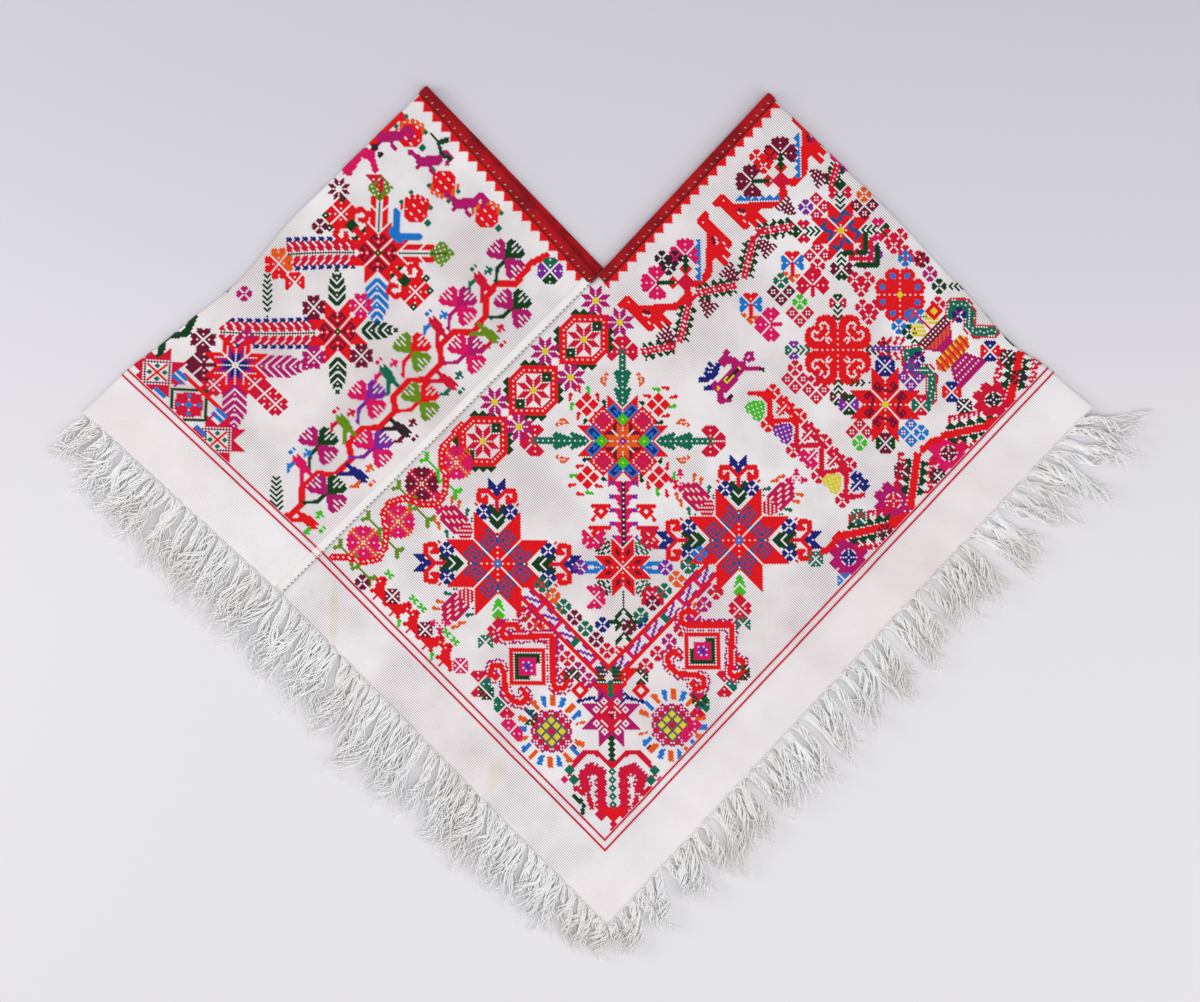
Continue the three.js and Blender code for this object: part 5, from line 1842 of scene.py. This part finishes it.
# %% Straight stitches: the two red lines round the hem, and the dark ones along the seam
def straight(panel, length, across, run, width, height, out=GROUND):
    """Small slivers centred at the given places, half a run long each way in (length, across)."""
    middle, lengthwise, crosswise, normal = cloth_frame(panel, length, across)
    leg = lengthwise * run[0] + crosswise * run[1]
    aside = np.cross(normal, leg)
    aside *= width / 2 / np.linalg.norm(aside, axis=-1, keepdims=True)
    points = slivers(middle + normal * out, leg, aside, normal, 1.0, height)
    faces = sliver_faces(points, normal)
    places = np.stack([length / PANEL_LENGTH, across / PANEL_WIDTH], axis=-1)
    corner = np.array([[-1, 0], [1, 0], [0, -1], [0, 1]]) * 0.0008
    return points.reshape(-1, 3), faces, (places[:, None] + corner).reshape(-1, 2)


def straight_piece(name, parts, material):
    points, faces, places = joined(parts)
    return add_piece(name, points, faces, material, places, smooth=False)


HEM_LINES = (HEM_LINE, HEM_LINE - 6.3)
HEM_STITCH = 1.5
hem_lines = []
for panel in PANELS:
    on_back = panel == "left"
    for line in HEM_LINES:
        corner_at = length_at(panel, -line, on_back)
        start, end = sorted((corner_at, PANEL_LENGTH if not on_back else 0.0))
        length = np.arange(start, end, HEM_STITCH)
        hem_lines.append(straight(panel, length, np.full(len(length), float(line)), (1.4, 0), 2.3, 0.48))
        across = np.arange(SEAM + 1, line, HEM_STITCH)
        hem_lines.append(straight(panel, np.full(len(across), corner_at), across, (0, 1.4), 2.3, 0.48))
hem_material = thread_finish("hem line", (214, 8, 56))
straight_piece("hem_lines", hem_lines, hem_material)

SEAM_STITCH, SEAM_STITCH_GAP = 3.0, 4.4
dark_thread = thread_finish("dark sewing", (44, 36, 42))
seam_stitches = []
for panel, on_back in (("left", False), ("right", True)):
    across = np.arange(TAPE_WIDTH + 3, PANEL_WIDTH - 2, SEAM_STITCH_GAP)
    length = np.full(len(across), length_at(panel, 0.95, on_back))
    seam_stitches.append(straight(panel, length, across, (0.25, SEAM_STITCH / 2), 0.9, 0.3, out=0.42))
straight_piece("seam_stitches", seam_stitches, dark_thread)

# %% The stitches that hold the neck tape, and a painted shadow along its inner edge
tape_stitches, tape_shadows = [], []
for panel in PANELS:
    first, last = sorted((length_at(panel, 4.0, False), length_at(panel, 4.0, True)))
    length = np.arange(first, last, BINDING_STITCH)
    tape_stitches.append(straight(panel, length, np.full(len(length), 5.6), (0.7, 1.3), 0.9, 0.3, out=1.75))
    # Close dark slivers along the tape's inner edge paint the shadow that the tape's edge casts there.
    length = np.arange(first, last, 2.2)
    tape_shadows.append(straight(panel, length, np.full(len(length), 8.3), (1.7, 0), 2.6, 0.6, out=0.3))
straight_piece("tape_stitches", tape_stitches, thread_finish("pale sewing", (228, 190, 170)))
straight_piece("tape_edge_painted_shadow", tape_shadows, thread_finish("painted shadow beside the tape", (58, 30, 16)))
print("hem lines, seam and tape stitches sewn")

# %% A loop over the two sheets, which changes nothing
for panel, piece in cloths.items():
    PANEL_LENGTH * MM

# %% [markdown]
# ## Floor, light and camera
# The cape is seen straight from above on a plain pale table, whose colour is painted darker towards
# the top as shade. Large soft lights leave the colours even, and one of them comes from low on the
# left, so that the ribs, stitches and creases show.

# %% Floor
def floor_material():
    finish = Finish("pale table", Roughness=0.9, Specular_IOR_Level=0.2)
    _, north = finish.first_two(finish.object_place())
    # The table is one pale colour; it is painted darker towards the top as shade, where less light falls.
    finish.colour(finish.blend(finish.fade(north, -0.1, 0.5), paint(235, 233, 235), paint(216, 213, 221)))
    return finish.material


bpy.ops.object.select_all(action="DESELECT")
bpy.ops.mesh.primitive_plane_add(size=8, location=(0, 0, 0))
floor = bpy.context.object
floor.name = "table"
floor.data.materials.append(floor_material())


# %% Lights
def soft_light(name, place, size, power):
    """A round lamp that points at the middle of the table. Metres and watts."""
    bpy.ops.object.light_add(type="AREA", location=place)
    light = bpy.context.object
    light.name = name
    light.data.shape = "DISK"
    light.data.size = size
    light.data.energy = power
    aim = -np.array(place)
    light.rotation_euler = (float(np.arctan2(np.hypot(aim[0], aim[1]), -aim[2])), 0,
                            float(np.arctan2(aim[0], -aim[1])) + np.pi)


soft_light("low left", (-1.9, 0.2, 0.9), 0.9, 12)
soft_light("overhead", (0.3, -0.5, 2.9), 2.6, 30)
soft_light("low right", (2.0, -1.2, 1.5), 1.6, 15)
world = bpy.data.worlds.new("studio")
world.use_nodes = True
SKY, SKY_STRENGTH = (0.95, 0.96, 1.0, 1), 0.46
world.node_tree.nodes["Background"].inputs["Color"].default_value = SKY
world.node_tree.nodes["Background"].inputs["Strength"].default_value = SKY_STRENGTH
bpy.context.scene.world = world
bpy.context.scene.view_settings.view_transform = "Standard"

# %% Camera
IMAGE = (1200, 1002)  # pixels
FRAME_WIDTH = 1.080  # metres across the picture on the table
CAMERA_HEIGHT = 3.0
VIEW_CENTRE = (-0.0021, 0.0218)
bpy.ops.object.camera_add(location=(*VIEW_CENTRE, CAMERA_HEIGHT), rotation=(0, 0, 0))
camera = bpy.context.object
camera.name = "camera"
camera.data.sensor_fit = "HORIZONTAL"
camera.data.sensor_width = 36
camera.data.lens = 36 * CAMERA_HEIGHT / FRAME_WIDTH
camera.data.clip_end = 20
bpy.context.scene.camera = camera
print("camera looks straight down at", VIEW_CENTRE, "and sees", FRAME_WIDTH, "m by",
      round(FRAME_WIDTH * IMAGE[1] / IMAGE[0], 3), "m")
